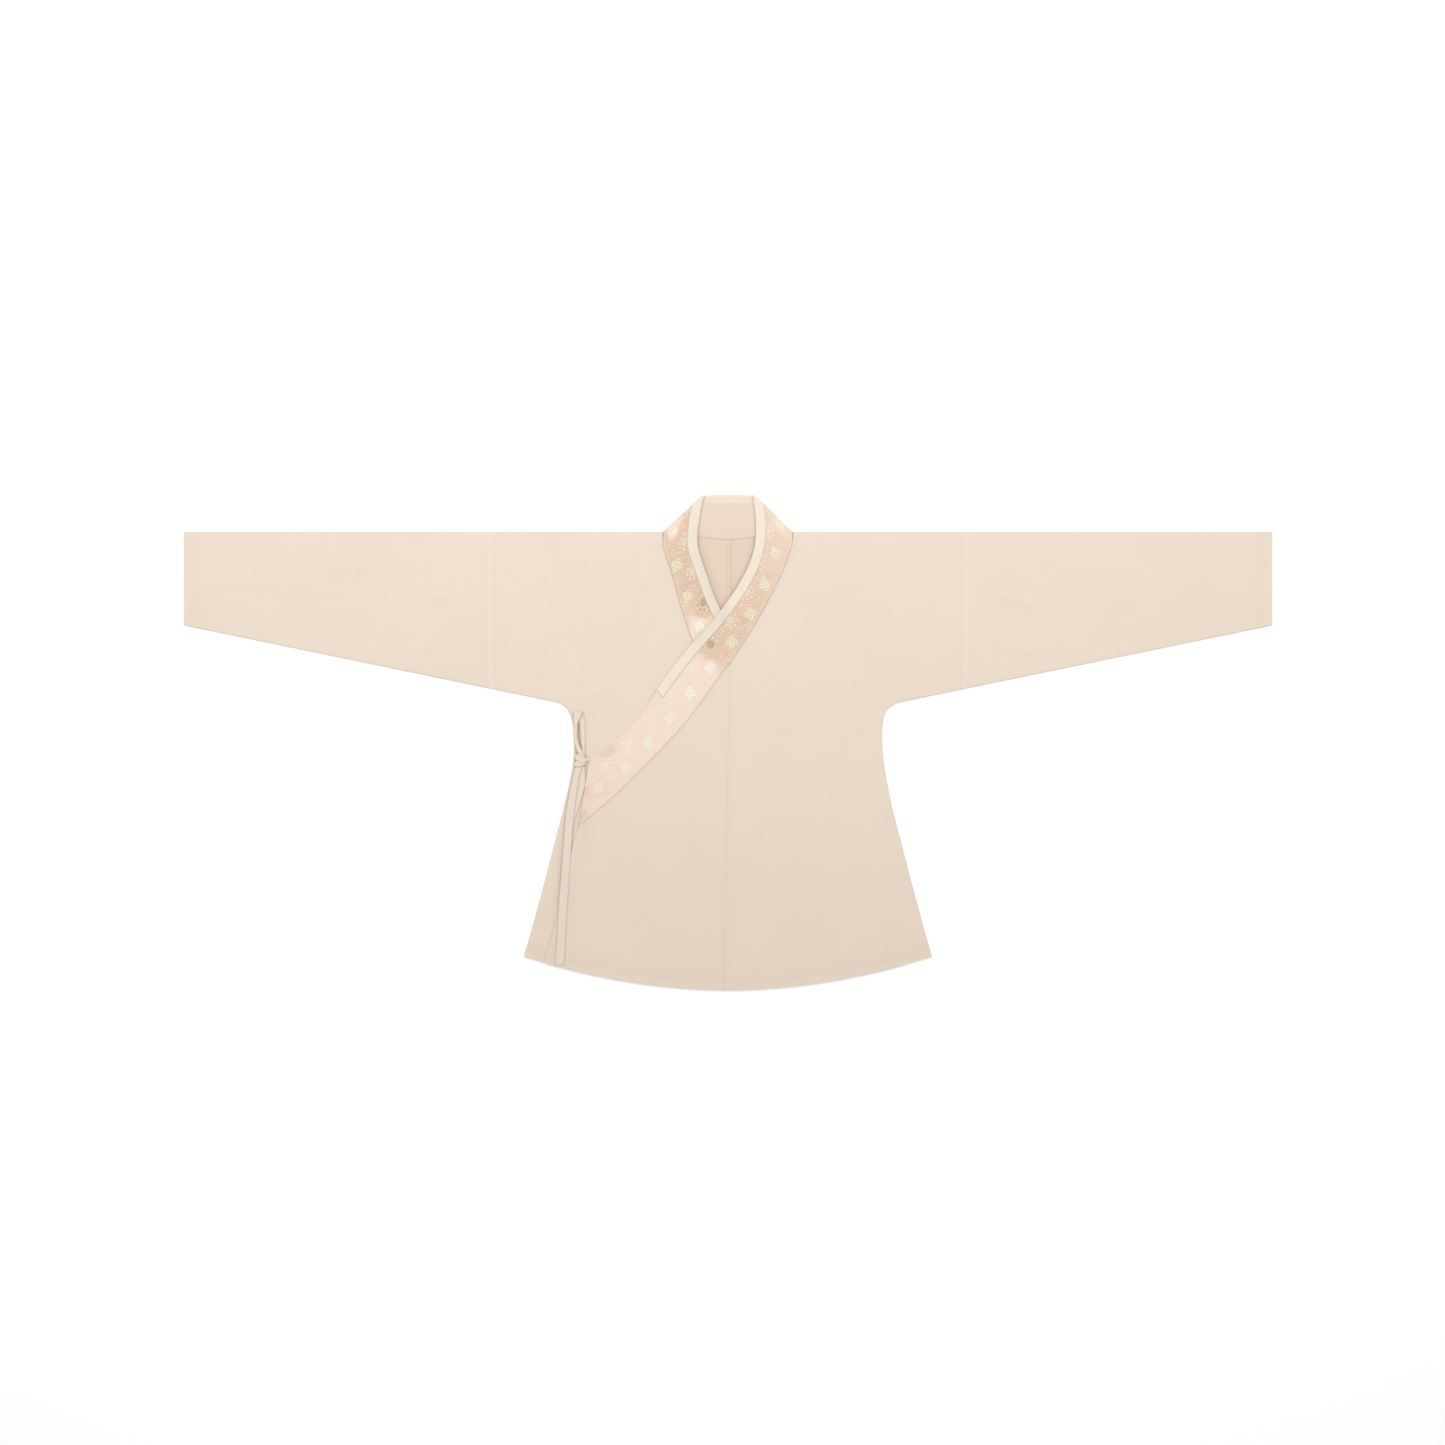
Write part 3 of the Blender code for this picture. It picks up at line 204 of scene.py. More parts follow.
SLEEVE_CREASES = np.array((
    (432, 258, 524, 229, 4, 8, 1.4), (452, 288, 512, 278, -2, 7, 0.8), (468, 152, 560, 168, 4, 9, 1),
    (596, 302, 688, 288, 5, 12, 0.9), (640, 196, 724, 214, 3, 11, 0.8), (742, 262, 822, 246, -4, 12, 0.7),
    (-432, 256, -512, 237, -4, 8, 1.4), (-478, 160, -548, 148, 4, 9, 0.9),
    (-566, 300, -676, 286, -5, 13, 0.9), (-588, 224, -700, 204, 6, 12, 1),
    (-752, 256, -836, 268, 4, 12, 0.7),
)) * MM
BACK_CREASES = np.array((
    (-226, 128, -262, 70, 4, 7, 0.5), (-150, 60, -176, -120, 9, 14, 0.4),
    (-96, -210, -132, -366, -6, 10, 0.45), (58, 250, 96, 120, 8, 14, 0.4), (232, 122, 258, 62, -4, 7, 0.5),
    (176, -60, 214, -250, 8, 11, 0.5), (70, -250, 92, -380, 4, 9, 0.45), (-60, 280, -190, 236, -8, 12, 0.4),
    (452, 250, 566, 222, 5, 9, 0.5), (640, 280, 742, 262, -4, 10, 0.45), (-460, 236, -560, 258, 5, 9, 0.5),
    (-640, 216, -760, 236, 5, 11, 0.45),
)) * MM
COLLAR_CREASES = np.array((
    (-100, 330, -66, 312, 2, 6, -0.9), (-98, 306, -62, 322, -2, 5, 0.8), (-94, 262, -52, 246, 3, 7, -0.9),
    (-82, 236, -44, 262, 2, 6, 0.8), (-62, 196, -34, 214, 2, 6, -0.8), (94, 300, 62, 322, 3, 7, 0.7),
    (76, 262, 46, 286, -3, 8, -0.6), (38, 204, 14, 232, 3, 7, 0.7), (8, 158, -24, 186, -3, 8, -0.7),
    (-8, 130, -36, 152, 2, 6, 0.6), (-224, -28, -176, 2, -3, 6, -0.9), (-206, -44, -156, -8, 4, 8, 0.7),
    (-36, 400, -28, 400.5, 0.4, 1.6, 0.8),
)) * MM


def ease(share: Array) -> Array:
    """Smooth step from 0 to 1: three squares less two cubes of the share, held to 0 and 1 outside."""
    share = np.clip(share, 0, 1)
    return share * share * (3 - 2 * share)


def mix(low: Array, high: Array, share: Array) -> Array:
    """The value at a share of the way from low to high."""
    return low + (high - low) * share


def bell(away: Array) -> Array:
    """Bell curve of a distance given in widths: 1 over e to the power of its square."""
    return np.exp(-(away**2))


def unit(vectors: Array) -> Array:
    """The vectors at length 1."""
    return vectors / np.linalg.norm(vectors, axis=-1, keepdims=True)


def down(count: int) -> Array:
    """Equal steps from 0 to 1, one for each row of a grid."""
    return np.linspace(0, 1, count)[:, None]


def across(count: int) -> Array:
    """Equal steps from 0 to 1, one for each column of a grid."""
    return np.linspace(0, 1, count)[None, :]


def grid(*parts: Array) -> Array:
    """Places by rows and columns, from coordinates that may be alike along a row or a column."""
    return np.stack(np.broadcast_arrays(*parts), -1)


def spline(knots: Array, values: Array, at: Array) -> Array:
    """Smooth curve through values: on each stretch a cubic, whose slopes at the knots come from a parabola.

    Args:
        knots: Rising positions of the values.
        values: One value or row of values for each knot.
        at: Positions to read.

    Returns:
        The curve at those positions.
    """
    table = values.reshape(len(knots), -1)
    step = np.diff(knots)[:, None]
    rise = np.diff(table, axis=0) / step
    inner = (rise[:-1] * step[1:] + rise[1:] * step[:-1]) / (step[:-1] + step[1:])
    slope = np.concatenate([rise[:1], inner, rise[-1:]])
    cell = np.clip(np.searchsorted(knots, at, side="right") - 1, 0, len(knots) - 2)
    width = step[cell]
    t = np.clip((at[..., None] - knots[cell][..., None]) / width, 0, 1)
    ends = table[cell] * (1 + 2 * t) * (1 - t) ** 2 + table[cell + 1] * t * t * (3 - 2 * t)
    result = ends + width * (slope[cell] * t * (1 - t) ** 2 - slope[cell + 1] * t * t * (1 - t))
    return result[..., 0] if values.ndim == 1 else result


def through(rows: Array, steps: int) -> tuple[Array, Array]:
    """Row numbers in equal steps, so many from row to row, and the smooth curve through the rows at them."""
    number = np.linspace(0, len(rows) - 1, (len(rows) - 1) * steps + 1)
    return number, spline(np.arange(len(rows)), rows, number)


def running(line: Array) -> Array:
    """Distance along a line from its start to each of its points."""
    return np.concatenate([[0], np.cumsum(np.linalg.norm(np.diff(line, axis=0), axis=1))])


def tangents(line: Array) -> Array:
    """Unit directions along an open line, each the mean of its two stretches."""
    step = unit(np.diff(line, axis=0))
    return unit(np.concatenate([step[:1], step[:-1] + step[1:], step[-1:]]))


def distance_to(x: Array, y: Array, *lines: Array) -> Array:
    """Distance in plan to open lines: the least over their stretches, each clamped to its ends.

    Args:
        x: Places across.
        y: Places toward the head.
        *lines: Points of each line, one row each.

    Returns:
        One distance for each place.
    """
    best = np.full(np.shape(x), np.inf)
    for start, way in (stretch for line in lines for stretch in zip(line, np.diff(line, axis=0))):
        share = ((x - start[0]) * way[0] + (y - start[1]) * way[1]) / (way @ way)
        share = np.clip(share, 0, 1)
        best = np.minimum(best, np.hypot(x - start[0] - share * way[0], y - start[1] - share * way[1]))
    return best


def add(name: str, data: bpy.types.ID) -> bpy.types.Object:
    """Puts a new object into the scene.

    Args:
        name: Its name.
        data: Its mesh, light or camera.

    Returns:
        The object, at the origin.
    """
    made = bpy.data.objects.new(name, data)
    bpy.context.scene.collection.objects.link(made)
    return made


@dataclass(frozen=True)
class Cut:
    """The garment's outline in plan and the heights of its layers, from the frame and from tables.

    The front's outer face lies at front_top on the back alone, and at over_top on the inner front too. A
    folded edge has the radius fold, outside.
    """

    wall: float = 1.2 * MM
    gap: float = 0.4 * MM
    front_top: float = 2 * wall + gap
    over_top: float = 3 * wall + 2 * gap
    fold: float = front_top / 2
    seam_gap: float = 0.04 * MM
    underarm_x: float = 281.0 * MM
    underarm_y: float = 65.3 * MM
    cuff_low_y: float = 195.1 * MM
    seam_low_x: float = 396.0 * MM
    neck_point_x: float = 109.9 * MM
    hem_corner_x: float = 341.6 * MM
    hem_rise: float = 55.2 * MM
    hem_power: float = 1.9
    centre_back_x: float = 5.0 * MM
    centre_top: Pair = (2.5 * MM, 132.2 * MM)
    centre_low: Pair = (-6.2 * MM, -414.1 * MM)
    neck_depth: float = 12.0 * MM
    neck_power: float = 1.3
    ramp_start: float = 28.0 * MM
    ramp: float = 34.0 * MM
    shoulder_y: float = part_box("left_sleeve")[1].y
    cuff_x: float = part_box("left_sleeve")[1].x
    hem_y0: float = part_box("right_body")[0].y
    seam_top_x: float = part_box("left_body")[1].x

    @property
    def top(self) -> float:
        """y at which the shoulder's fold starts."""
        return self.shoulder_y - self.fold

    def hem(self, x: Array) -> Array:
        """Hem line: the middle's height, raised by a power of the distance from the middle."""
        return self.hem_y0 + self.hem_rise * (np.abs(x) / self.hem_corner_x) ** self.hem_power

    def underarm(self, x: Array) -> Array:
        """Underarm line: straight from the armpit to the cuff's low corner."""
        slope = (self.cuff_low_y - self.underarm_y) / (self.cuff_x - self.underarm_x)
        return self.underarm_y + slope * (np.abs(x) - self.underarm_x)

    def side(self, side: Side, y: Array) -> Array:
        """Distance from the middle to the body's side, smooth through the table."""
        rows = np.vstack([SIDE_ROWS[::-1], (self.underarm_y, self.underarm_x, self.underarm_x)])
        return spline(rows[:, 0], rows[:, 1 if side is Side.RIGHT else 2], y)

    def sleeve_seam(self, y: Array) -> Array:
        """Distance from the middle to the sleeve seam, straight from its low end to its top."""
        low = self.underarm(self.seam_low_x)
        return mix(self.seam_low_x, self.seam_top_x, (y - low) / (self.shoulder_y - low))

    def centre(self, y: Array) -> Array:
        """x of the centre-front seam, straight."""
        share = (y - self.centre_low[1]) / (self.centre_top[1] - self.centre_low[1])
        return mix(self.centre_low[0], self.centre_top[0], share)

    def inner_reach(self, y: Array) -> Array:
        """How far the inner front reaches toward the wearer's left, at each height."""
        line = np.vstack([INNER_COLLAR[:, NECK], INNER_EDGE])
        return np.interp(y, *line[np.argsort(line[:, 1])].T[::-1])

    def face(self, side: Side, x: Array, y: Array) -> Array:
        """Height of the front's outer face: level, raised on the left where the inner front lies under."""
        away = x - self.inner_reach(y) if side is Side.LEFT else np.inf
        return mix(self.over_top, self.front_top, ease((away - self.ramp_start) / self.ramp))

    def back_neck(self, x: Array) -> Array:
        """The back neckline: a shallow bowl between the shoulder corners."""
        half, end = OUTER_COLLAR[0, SEAM]
        return end - self.neck_depth * (1 - np.minimum(np.abs(x) / half, 1) ** self.neck_power)


@dataclass(frozen=True)
class Relief:
    """Soft creases on laid cloth, with a slow ripple between them."""

    creases: Array
    ripple: float = 0.16 * MM
    depth: float = 0.95
    flank: float = 0.45
    steepness: float = 1.5
    rise: float = 0.35
    fall: float = 0.3
    waves: tuple = (
        (0.34, 0.41, 0.9), (0.21, 1.37, 2.3), (0.157, 2.42, 4.1), (0.118, 0.92, 1.3), (0.083, 1.91, 5.2),
    )

    def height(self, x: Array, y: Array) -> Array:
        """Height over the flat cloth.

        A crease's height is a bell across its bowed line, steeper on one flank, times a smooth rise and fall
        along it. The ripple is a sum of sines of several lengths and directions.

        Args:
            x: Places across.
            y: Places toward the head.

        Returns:
            One height for each place.
        """
        total = np.zeros(np.shape(x))
        for length, angle, phase in self.waves:
            way = x * math.cos(angle) + y * math.sin(angle)
            total = total + self.ripple / len(self.waves) * np.sin(2 * math.pi * way / length + phase)
        for x0, y0, x1, y1, bow, width, height in self.creases:
            run_x, run_y = x1 - x0, y1 - y0
            length = math.hypot(run_x, run_y)
            share = ((x - x0) * run_x + (y - y0) * run_y) / length**2
            beside = ((x - x0) * run_y - (y - y0) * run_x) / length
            beside = (beside - 4 * bow * share * (1 - share)) / width
            high = self.depth * height * bell(beside) * (1 + self.flank * np.tanh(self.steepness * beside))
            total = total + high * ease(share / self.rise) * ease((1 - share) / self.fall)
        return total


@dataclass
class Patch:
    """One grid of a piece, by rows and columns.

    It holds places, distances to a sewn edge and to a turned one, painted light and shade, as how far the
    cloth turns from the light, and coordinates on the cloth, which are the places' x and y where none are
    given.
    """

    places: Array
    sewn: Array | float = FAR
    turned: Array | float = FAR
    painted_shading: Array | float = 0.0
    cloth: Array | None = None
    wraps: bool = False

    def closed(self, values: Array) -> Array:
        """Values by rows and columns, with the first column again at the end where the patch wraps."""
        return np.concatenate([values, values[:, :1]], axis=1) if self.wraps else values

    @property
    def area(self) -> float:
        """Area of the grid: the sum of its cells, each half the cross product of its diagonals.

        Returns:
            The area in square metres.
        """
        p = self.closed(self.places)
        one, two = p[1:, 1:] - p[:-1, :-1], p[1:, :-1] - p[:-1, 1:]
        return float(np.linalg.norm(np.cross(one, two), axis=-1).sum() / 2)

    @property
    def flat(self) -> Array:
        """Coordinates on the cloth, a row for each place."""
        return (self.places[..., :2] if self.cloth is None else self.cloth).reshape(-1, 2)

    @property
    def marks(self) -> Array:
        """Both distances and the painted light and shade, a row for each place."""
        return grid(self.sewn + 0 * self.places[..., 0], self.turned, self.painted_shading).reshape(-1, 3)

    def faces(self, start: int) -> Array:
        """Four-cornered faces of the grid.

        Args:
            start: Index of its first vertex.

        Returns:
            One row of four indices for each face.
        """
        rows, columns = self.places.shape[:2]
        numbers = self.closed(start + np.arange(rows * columns).reshape(rows, columns))
        corners = (numbers[:-1, :-1], numbers[:-1, 1:], numbers[1:, 1:], numbers[1:, :-1])
        return np.stack(corners, axis=-1).reshape(-1, 4)


@dataclass
class Piece:
    """A shell of cloth that stands for a CAD node, and is named after it if it has no name of its own."""

    node: str
    patches: list[Patch]
    wall: float = 1.0 * MM
    slot: Slot = Slot.PLAIN
    name: str = ""

    def __post_init__(self) -> None:
        """Names the piece."""
        self.name = self.name or f"{self.node}_cloth"

    @property
    def area(self) -> float:
        """One-sided area of the cloth."""
        return sum(patch.area for patch in self.patches)

    def build(self, material: bpy.types.Material, inside: bpy.types.Material | None) -> bpy.types.Object:
        """Makes the mesh, welds its patches, turns it face up, gives it a wall and lets it ride.

        Args:
            material: Finish of the piece.
            inside: Finish of its inner face, where it differs.

        Returns:
            The finished object.
        """
        starts = np.cumsum([0] + [patch.places[..., 0].size for patch in self.patches])
        quads = np.concatenate([patch.faces(start) for patch, start in zip(self.patches, starts)])
        mesh = bpy.data.meshes.new(self.name)
        mesh.from_pydata(np.concatenate([patch.places.reshape(-1, 3) for patch in self.patches]), [], quads)
        flat = np.concatenate([patch.flat for patch in self.patches])
        mesh.uv_layers.new(name="cloth").data.foreach_set("uv", flat[quads.ravel()].ravel())
        marks = np.concatenate([patch.marks for patch in self.patches])
        for name, values in zip(MARKS, marks.T):
            mesh.attributes.new(name, "FLOAT", "POINT").data.foreach_set("value", values.copy())
        self.settle(mesh)
        mesh.materials.append(material)
        mesh.shade_smooth()
        edges = np.empty(len(mesh.loops), dtype=np.int32)
        mesh.loops.foreach_get("edge_index", edges)
        free = np.bincount(edges, minlength=len(mesh.edges)) == 1
        mesh.attributes.new("sharp_edge", "BOOLEAN", "EDGE").data.foreach_set("value", free)
        made = add(self.name, mesh)
        shell = made.modifiers.new("wall", "SOLIDIFY")
        shell.thickness = self.wall
        shell.offset = -1.0
        if inside is not None:
            mesh.materials.append(inside)
            shell.material_offset = 1
        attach(made, "root")
        if self.node:
            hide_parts(self.node)
        LOG.info("%s: %d faces, %.3f square metres", self.name, len(mesh.polygons), self.area)
        return made

    @staticmethod
    def settle(mesh: bpy.types.Mesh) -> None:
        """Welds the patches and makes the faces agree, the highest one facing up.

        Args:
            mesh: The mesh, changed in place.
        """
        work = bmesh.new()
        work.from_mesh(mesh)
        bmesh.ops.remove_doubles(work, verts=work.verts, dist=WELD)
        bmesh.ops.recalc_face_normals(work, faces=work.faces)
        work.normal_update()
        highest = max(work.faces, key=lambda f: f.calc_center_median().z)
        if highest.normal.z < 0:
            bmesh.ops.reverse_faces(work, faces=work.faces)
        work.to_mesh(mesh)
        work.free()


@dataclass(frozen=True)
class Cloth:
    """What every piece of cloth shares: the cut, the creases and what neighbours do to its light."""

    cut: Cut
    front: Relief = Relief(np.vstack([FRONT_CREASES, SLEEVE_CREASES]))
    back: Relief = Relief(BACK_CREASES, ripple=0.05 * MM, depth=1.0)
    calm: float = 9.0 * MM
    collar_reach: float = 2.4 * MM
    collar_dark: float = 0.07
    collar_rows: int = 11
    seam_bright: float = 0.075
    seam_reach: float = 2.2 * MM

    def stillness(self, margin: Array) -> Array:
        """How freely cloth stands up at a distance from its folded edge: none at the edge, all past calm."""
        return ease(margin / self.calm)

    def front_height(self, x: Array, y: Array) -> Array:
        """Height of the front's creases, none at the garment's folded outline.

        Args:
            x: Places across.
            y: Places toward the head.

        Returns:
            One height for each place.
        """
        cut, wide = self.cut, np.abs(x)
        side = np.where(x < 0, cut.side(Side.RIGHT, y), cut.side(Side.LEFT, y))
        to_arm = np.maximum(y - cut.underarm(np.maximum(wide, cut.underarm_x)), 0)
        to_arm = np.where(wide > cut.underarm_x - self.calm, to_arm, np.inf)
        margin = np.minimum(np.where(y < cut.underarm_y, side - wide, to_arm), cut.shoulder_y - y)
        return self.front.height(x, y) * self.stillness(margin)

    def back_height(self, x: Array, y: Array, margin: Array) -> Array:
        """Height of the back's creases over the surface it lies on, by the distance to its folded edge."""
        return np.maximum(self.back.height(x, y), 0) * self.stillness(margin)

    @staticmethod
    def shade(rows: Array, x: Array, y: Array) -> Array:
        """How dark the neighbours' shade is: the strongest of the bells about the rows' lines.

        Args:
            rows: A table of shades.
            x: Places across.
            y: Places toward the head.

        Returns:
            One share for each place.
        """
        dark = np.zeros(np.shape(x))
        for x0, y0, x1, y1, width, strength in rows:
            away = distance_to(x, y, np.array(((x0, y0), (x1, y1))) * MM) / (width * MM)
            dark = np.maximum(dark, strength * bell(away))
        return dark

    def collar_shade(self, x: Array, y: Array) -> Array:
        """Shade beside the raised collar: a fixed share at its seam, falling off by a bell."""
        away = distance_to(x, y, OUTER_COLLAR[:, SEAM], INNER_COLLAR[:self.collar_rows, SEAM])
        return self.collar_dark * bell(away / self.collar_reach)

    def seam_light(self, distance: Array) -> Array:
        """Light that a pressed sleeve seam catches: a bell about the seam."""
        return self.seam_bright * bell(distance / self.seam_reach)


@dataclass(frozen=True)
class BodyHalf:
    """One half of the body: front, back and upper sleeve, folded at the shoulder, underarm and side."""

    cloth: Cloth
    side: Side
    low_rows: int = 92
    high_rows: int = 60
    columns: int = 66
    neck_columns: int = 26
    root_columns: int = 26
    line_points: int = 120
    neck_points: int = 24
    arc_steps: int = 6
    neck_reach: float = 60.0 * MM
    tip_reach: float = 8.0 * MM
    armpit_reach: float = 6.0 * MM
    crossing_row: int = 12

    def inner_edge(self, y: Array, back: bool) -> Array:
        """The sheet's inner edge: the centre seam, and on the front the collar's seam above it.

        Args:
            y: Heights.
            back: Whether the sheet is the back one.

        Returns:
            x at each height.
        """
        cut, sign = self.cloth.cut, self.side.value
        if back:
            return cut.centre_back_x + sign * cut.seam_gap / 2 + 0 * y
        rows = INNER_COLLAR if self.side is Side.RIGHT else OUTER_COLLAR
        seam = spline(rows[::-1, 3], rows[::-1, 2], y) + sign * cut.seam_gap
        if self.side is Side.RIGHT:
            centre = -cut.seam_gap / 2
            edge = np.where(y > rows[self.crossing_row, 3], np.minimum(seam, centre), centre)
        else:
            centre = cut.centre(y) + cut.seam_gap / 2
            edge = np.where(y > cut.centre_top[1], np.maximum(seam, centre), centre)
        tip = ease((y - (cut.top - self.tip_reach)) / self.tip_reach)
        return mix(edge, sign * cut.neck_point_x, tip)

    def torso(self, back: bool) -> tuple[Array, Array]:
        """Plan of the sheet between its inner edge and the side.

        A row runs from the inner edge to the side. Below the armpit it bends from level to the hem's curve:
        its drop toward the middle is the hem's own drop times the share of the way down. The back's upper
        rows bend in the same way to the neckline.

        Args:
            back: Whether the sheet is the back one.

        Returns:
            x and y, by rows and columns.
        """
        cut, sign = self.cloth.cut, self.side.value
        low = mix(cut.hem_y0 + cut.hem_rise, cut.underarm_y, np.linspace(0, 1, self.low_rows))
        high = mix(cut.underarm_y, cut.top, np.linspace(0, 1, self.high_rows))
        side_y = np.concatenate([low, high[1:]])
        side_x = np.append(cut.side(self.side, low[:-1]), np.full(len(high), cut.underarm_x)) - cut.fold
        share = np.clip((cut.underarm_y - side_y) / (cut.underarm_y - low[0]), 0, 1)
        inner = self.inner_edge(side_y - cut.hem_rise * share, back)
        side_x, side_y, share, inner = (values[:, None] for values in (side_x, side_y, share, inner))
        x = mix(inner, sign * side_x, across(self.columns))
        if back:
            neck = sign * cut.neck_point_x
            near = np.linspace(0, 1, self.neck_columns, endpoint=False)[None, :]
            x = np.hstack([mix(inner, neck, near), mix(neck, sign * side_x, across(self.columns))])
        y = side_y - cut.hem_rise * (1 - (np.abs(x) / side_x).clip(0, 1) ** cut.hem_power) * share
        if back:
            near = ease((side_y - cut.top + self.neck_reach) / self.neck_reach)
            y = y - near * (cut.top - np.minimum(cut.back_neck(x) - cut.seam_gap, cut.top))
        return x, y

    def root(self) -> tuple[Array, Array]:
        """Plan of the upper sleeve, between the armpit's line and the sleeve seam.

        Returns:
            x and y, by rows and columns.
        """
        cut, share = self.cloth.cut, across(self.root_columns)
        start = cut.underarm_x - cut.fold
        low_x = mix(start, cut.seam_low_x - cut.seam_gap / 2, share)
        bottom = cut.underarm(low_x) + cut.fold * ease((low_x - start) / self.armpit_reach)
        bottom = np.where(share == 0, cut.underarm_y, bottom)
        up = down(self.high_rows)
        return self.side.value * mix(low_x, mix(start, cut.seam_top_x, share), up), mix(bottom, cut.top, up)

    def sheets(self, back: bool) -> list[Patch]:
        """The torso and upper sleeve of one layer.

        Args:
            back: Whether the layer is the back one.

        Returns:
            Both patches.
        """
        cut, cloth, made = self.cloth.cut, self.cloth, []
        for x, y in (self.torso(back), self.root()):
            to_sleeve = cut.sleeve_seam(y) - self.side.value * x
            if back:
                # Painted shade on the back's inner face beside the collar.
                line, painted_shading = self.back_line(), cloth.shade(BACK_SHADE, x, y)
                to_side = cut.side(self.side, y) - np.abs(x)
                margin = np.where(y < cut.underarm_y, to_side, y - cut.underarm(x))
                z = cloth.back_height(x, y, np.minimum(cut.shoulder_y - y, margin))
            else:
                edge_y = np.linspace(cut.hem_y0, cut.top, self.line_points)
                line = np.column_stack([self.inner_edge(edge_y, False), edge_y])
                # Painted shade from the neighbours and the raised collar, less a painted highlight along the
                # sleeve seam.
                painted_shading = cloth.shade(FRONT_SHADE, x, y) + cloth.collar_shade(x, y)
                painted_shading = painted_shading - cloth.seam_light(to_sleeve)
                z = cut.face(self.side, x, y) + cloth.front_height(x, y)
            sewn = np.minimum(distance_to(x, y, line), to_sleeve)
            made.append(Patch(grid(x, y, z), sewn, y - cut.hem(x), painted_shading))
        return made

    def back_line(self) -> Array:
        """The back's sewn inner edge: the centre seam and half of the neckline.

        Returns:
            Its points, from the hem to the shoulder.
        """
        cut, sign = self.cloth.cut, self.side.value
        neck = sign * np.linspace(sign * cut.centre_back_x, cut.neck_point_x, self.neck_points)
        return np.vstack([(cut.centre_back_x, cut.hem_y0), np.column_stack([neck, cut.back_neck(neck)])])

    def fold_strip(self, front: Array, out: Array) -> Patch:
        """Folded edge: a half circle from the front's boundary down to the back's, carried along it.

        Args:
            front: Places of the front's boundary, in order.
            out: Outward direction in plan at each of them.

        Returns:
            A patch with one row for each place and the circle's steps as columns.
        """
        cut = self.cloth.cut
        turn = math.pi * across(self.arc_steps + 1)
        x, y = (front[:, i, None] + out[:, i, None] * cut.fold * np.sin(turn) for i in (0, 1))
        z = cut.fold + cut.fold * np.cos(turn)
        return Patch(grid(x, y, z), turned=y - cut.hem(x), cloth=grid(x + z, y))

    def piece(self) -> Piece:
        """The whole half: both layers, the folded side and underarm, and the folded shoulder.

        Returns:
            The piece.
        """
        front, back = self.sheets(False), self.sheets(True)
        torso, root = (patch.places for patch in front)
        side = np.concatenate([torso[:self.low_rows, -1], root[0, 1:]])
        way = tangents(side[:, :2])
        out = np.column_stack([way[:, 1], -way[:, 0]]) * self.side.value
        shoulder = np.concatenate([torso[-1], root[-1, 1:]])
        up = np.tile((0.0, 1.0), (len(shoulder), 1))
        folds = [self.fold_strip(side, out), self.fold_strip(shoulder, up)]
        return Piece(f"{self.side.name.lower()}_body", front + back + folds)


@dataclass(frozen=True)
class Sleeve:
    """Sleeve extension: a flat tube from the sleeve seam to the cuff."""

    cloth: Cloth
    side: Side
    rows: int = 112
    columns: int = 52
    arc_steps: int = 6

    def piece(self) -> Piece:
        """The tube: each row runs down the front, round the underarm fold, up the back and round the top.

        A row's ends slide from the slanted seam to the upright cuff.

        Returns:
            The piece.
        """
        cut, cloth, sign = self.cloth.cut, self.cloth, self.side.value
        along, fall = down(self.rows), across(self.columns)
        top_x = mix(cut.seam_top_x + cut.seam_gap, cut.cuff_x, along)
        low_x = mix(cut.seam_low_x + cut.seam_gap / 2, cut.cuff_x, along)
        low_y = cut.underarm(low_x) + cut.fold
        turn = math.pi * across(self.arc_steps + 1)[:, 1:-1]
        x, y = mix(top_x, low_x, fall), mix(cut.top, low_y, fall)
        back_x, back_y = x[:, ::-1], y[:, ::-1]
        margin = np.minimum(cut.shoulder_y - back_y, back_y - low_y)
        strips = (
            (x, y, cut.front_top + cloth.front_height(sign * x, y)),
            (low_x, low_y - cut.fold * np.sin(turn), cut.fold * (1 + np.cos(turn))),
            (back_x, back_y, cloth.back_height(sign * back_x, back_y, margin)),
            (top_x, cut.top + cut.fold * np.sin(turn), cut.fold * (1 - np.cos(turn))),
        )
        places = np.concatenate([grid(*strip) for strip in strips], axis=1)
        x, y = places[..., 0], places[..., 1]
        to_seam, to_cuff = x - cut.sleeve_seam(y), cut.cuff_x - x
        places = places * (sign, 1, 1)
        patch = Patch(places, to_seam, to_cuff, -cloth.seam_light(to_seam), wraps=True)
        return Piece(f"{self.side.name.lower()}_sleeve", [patch])


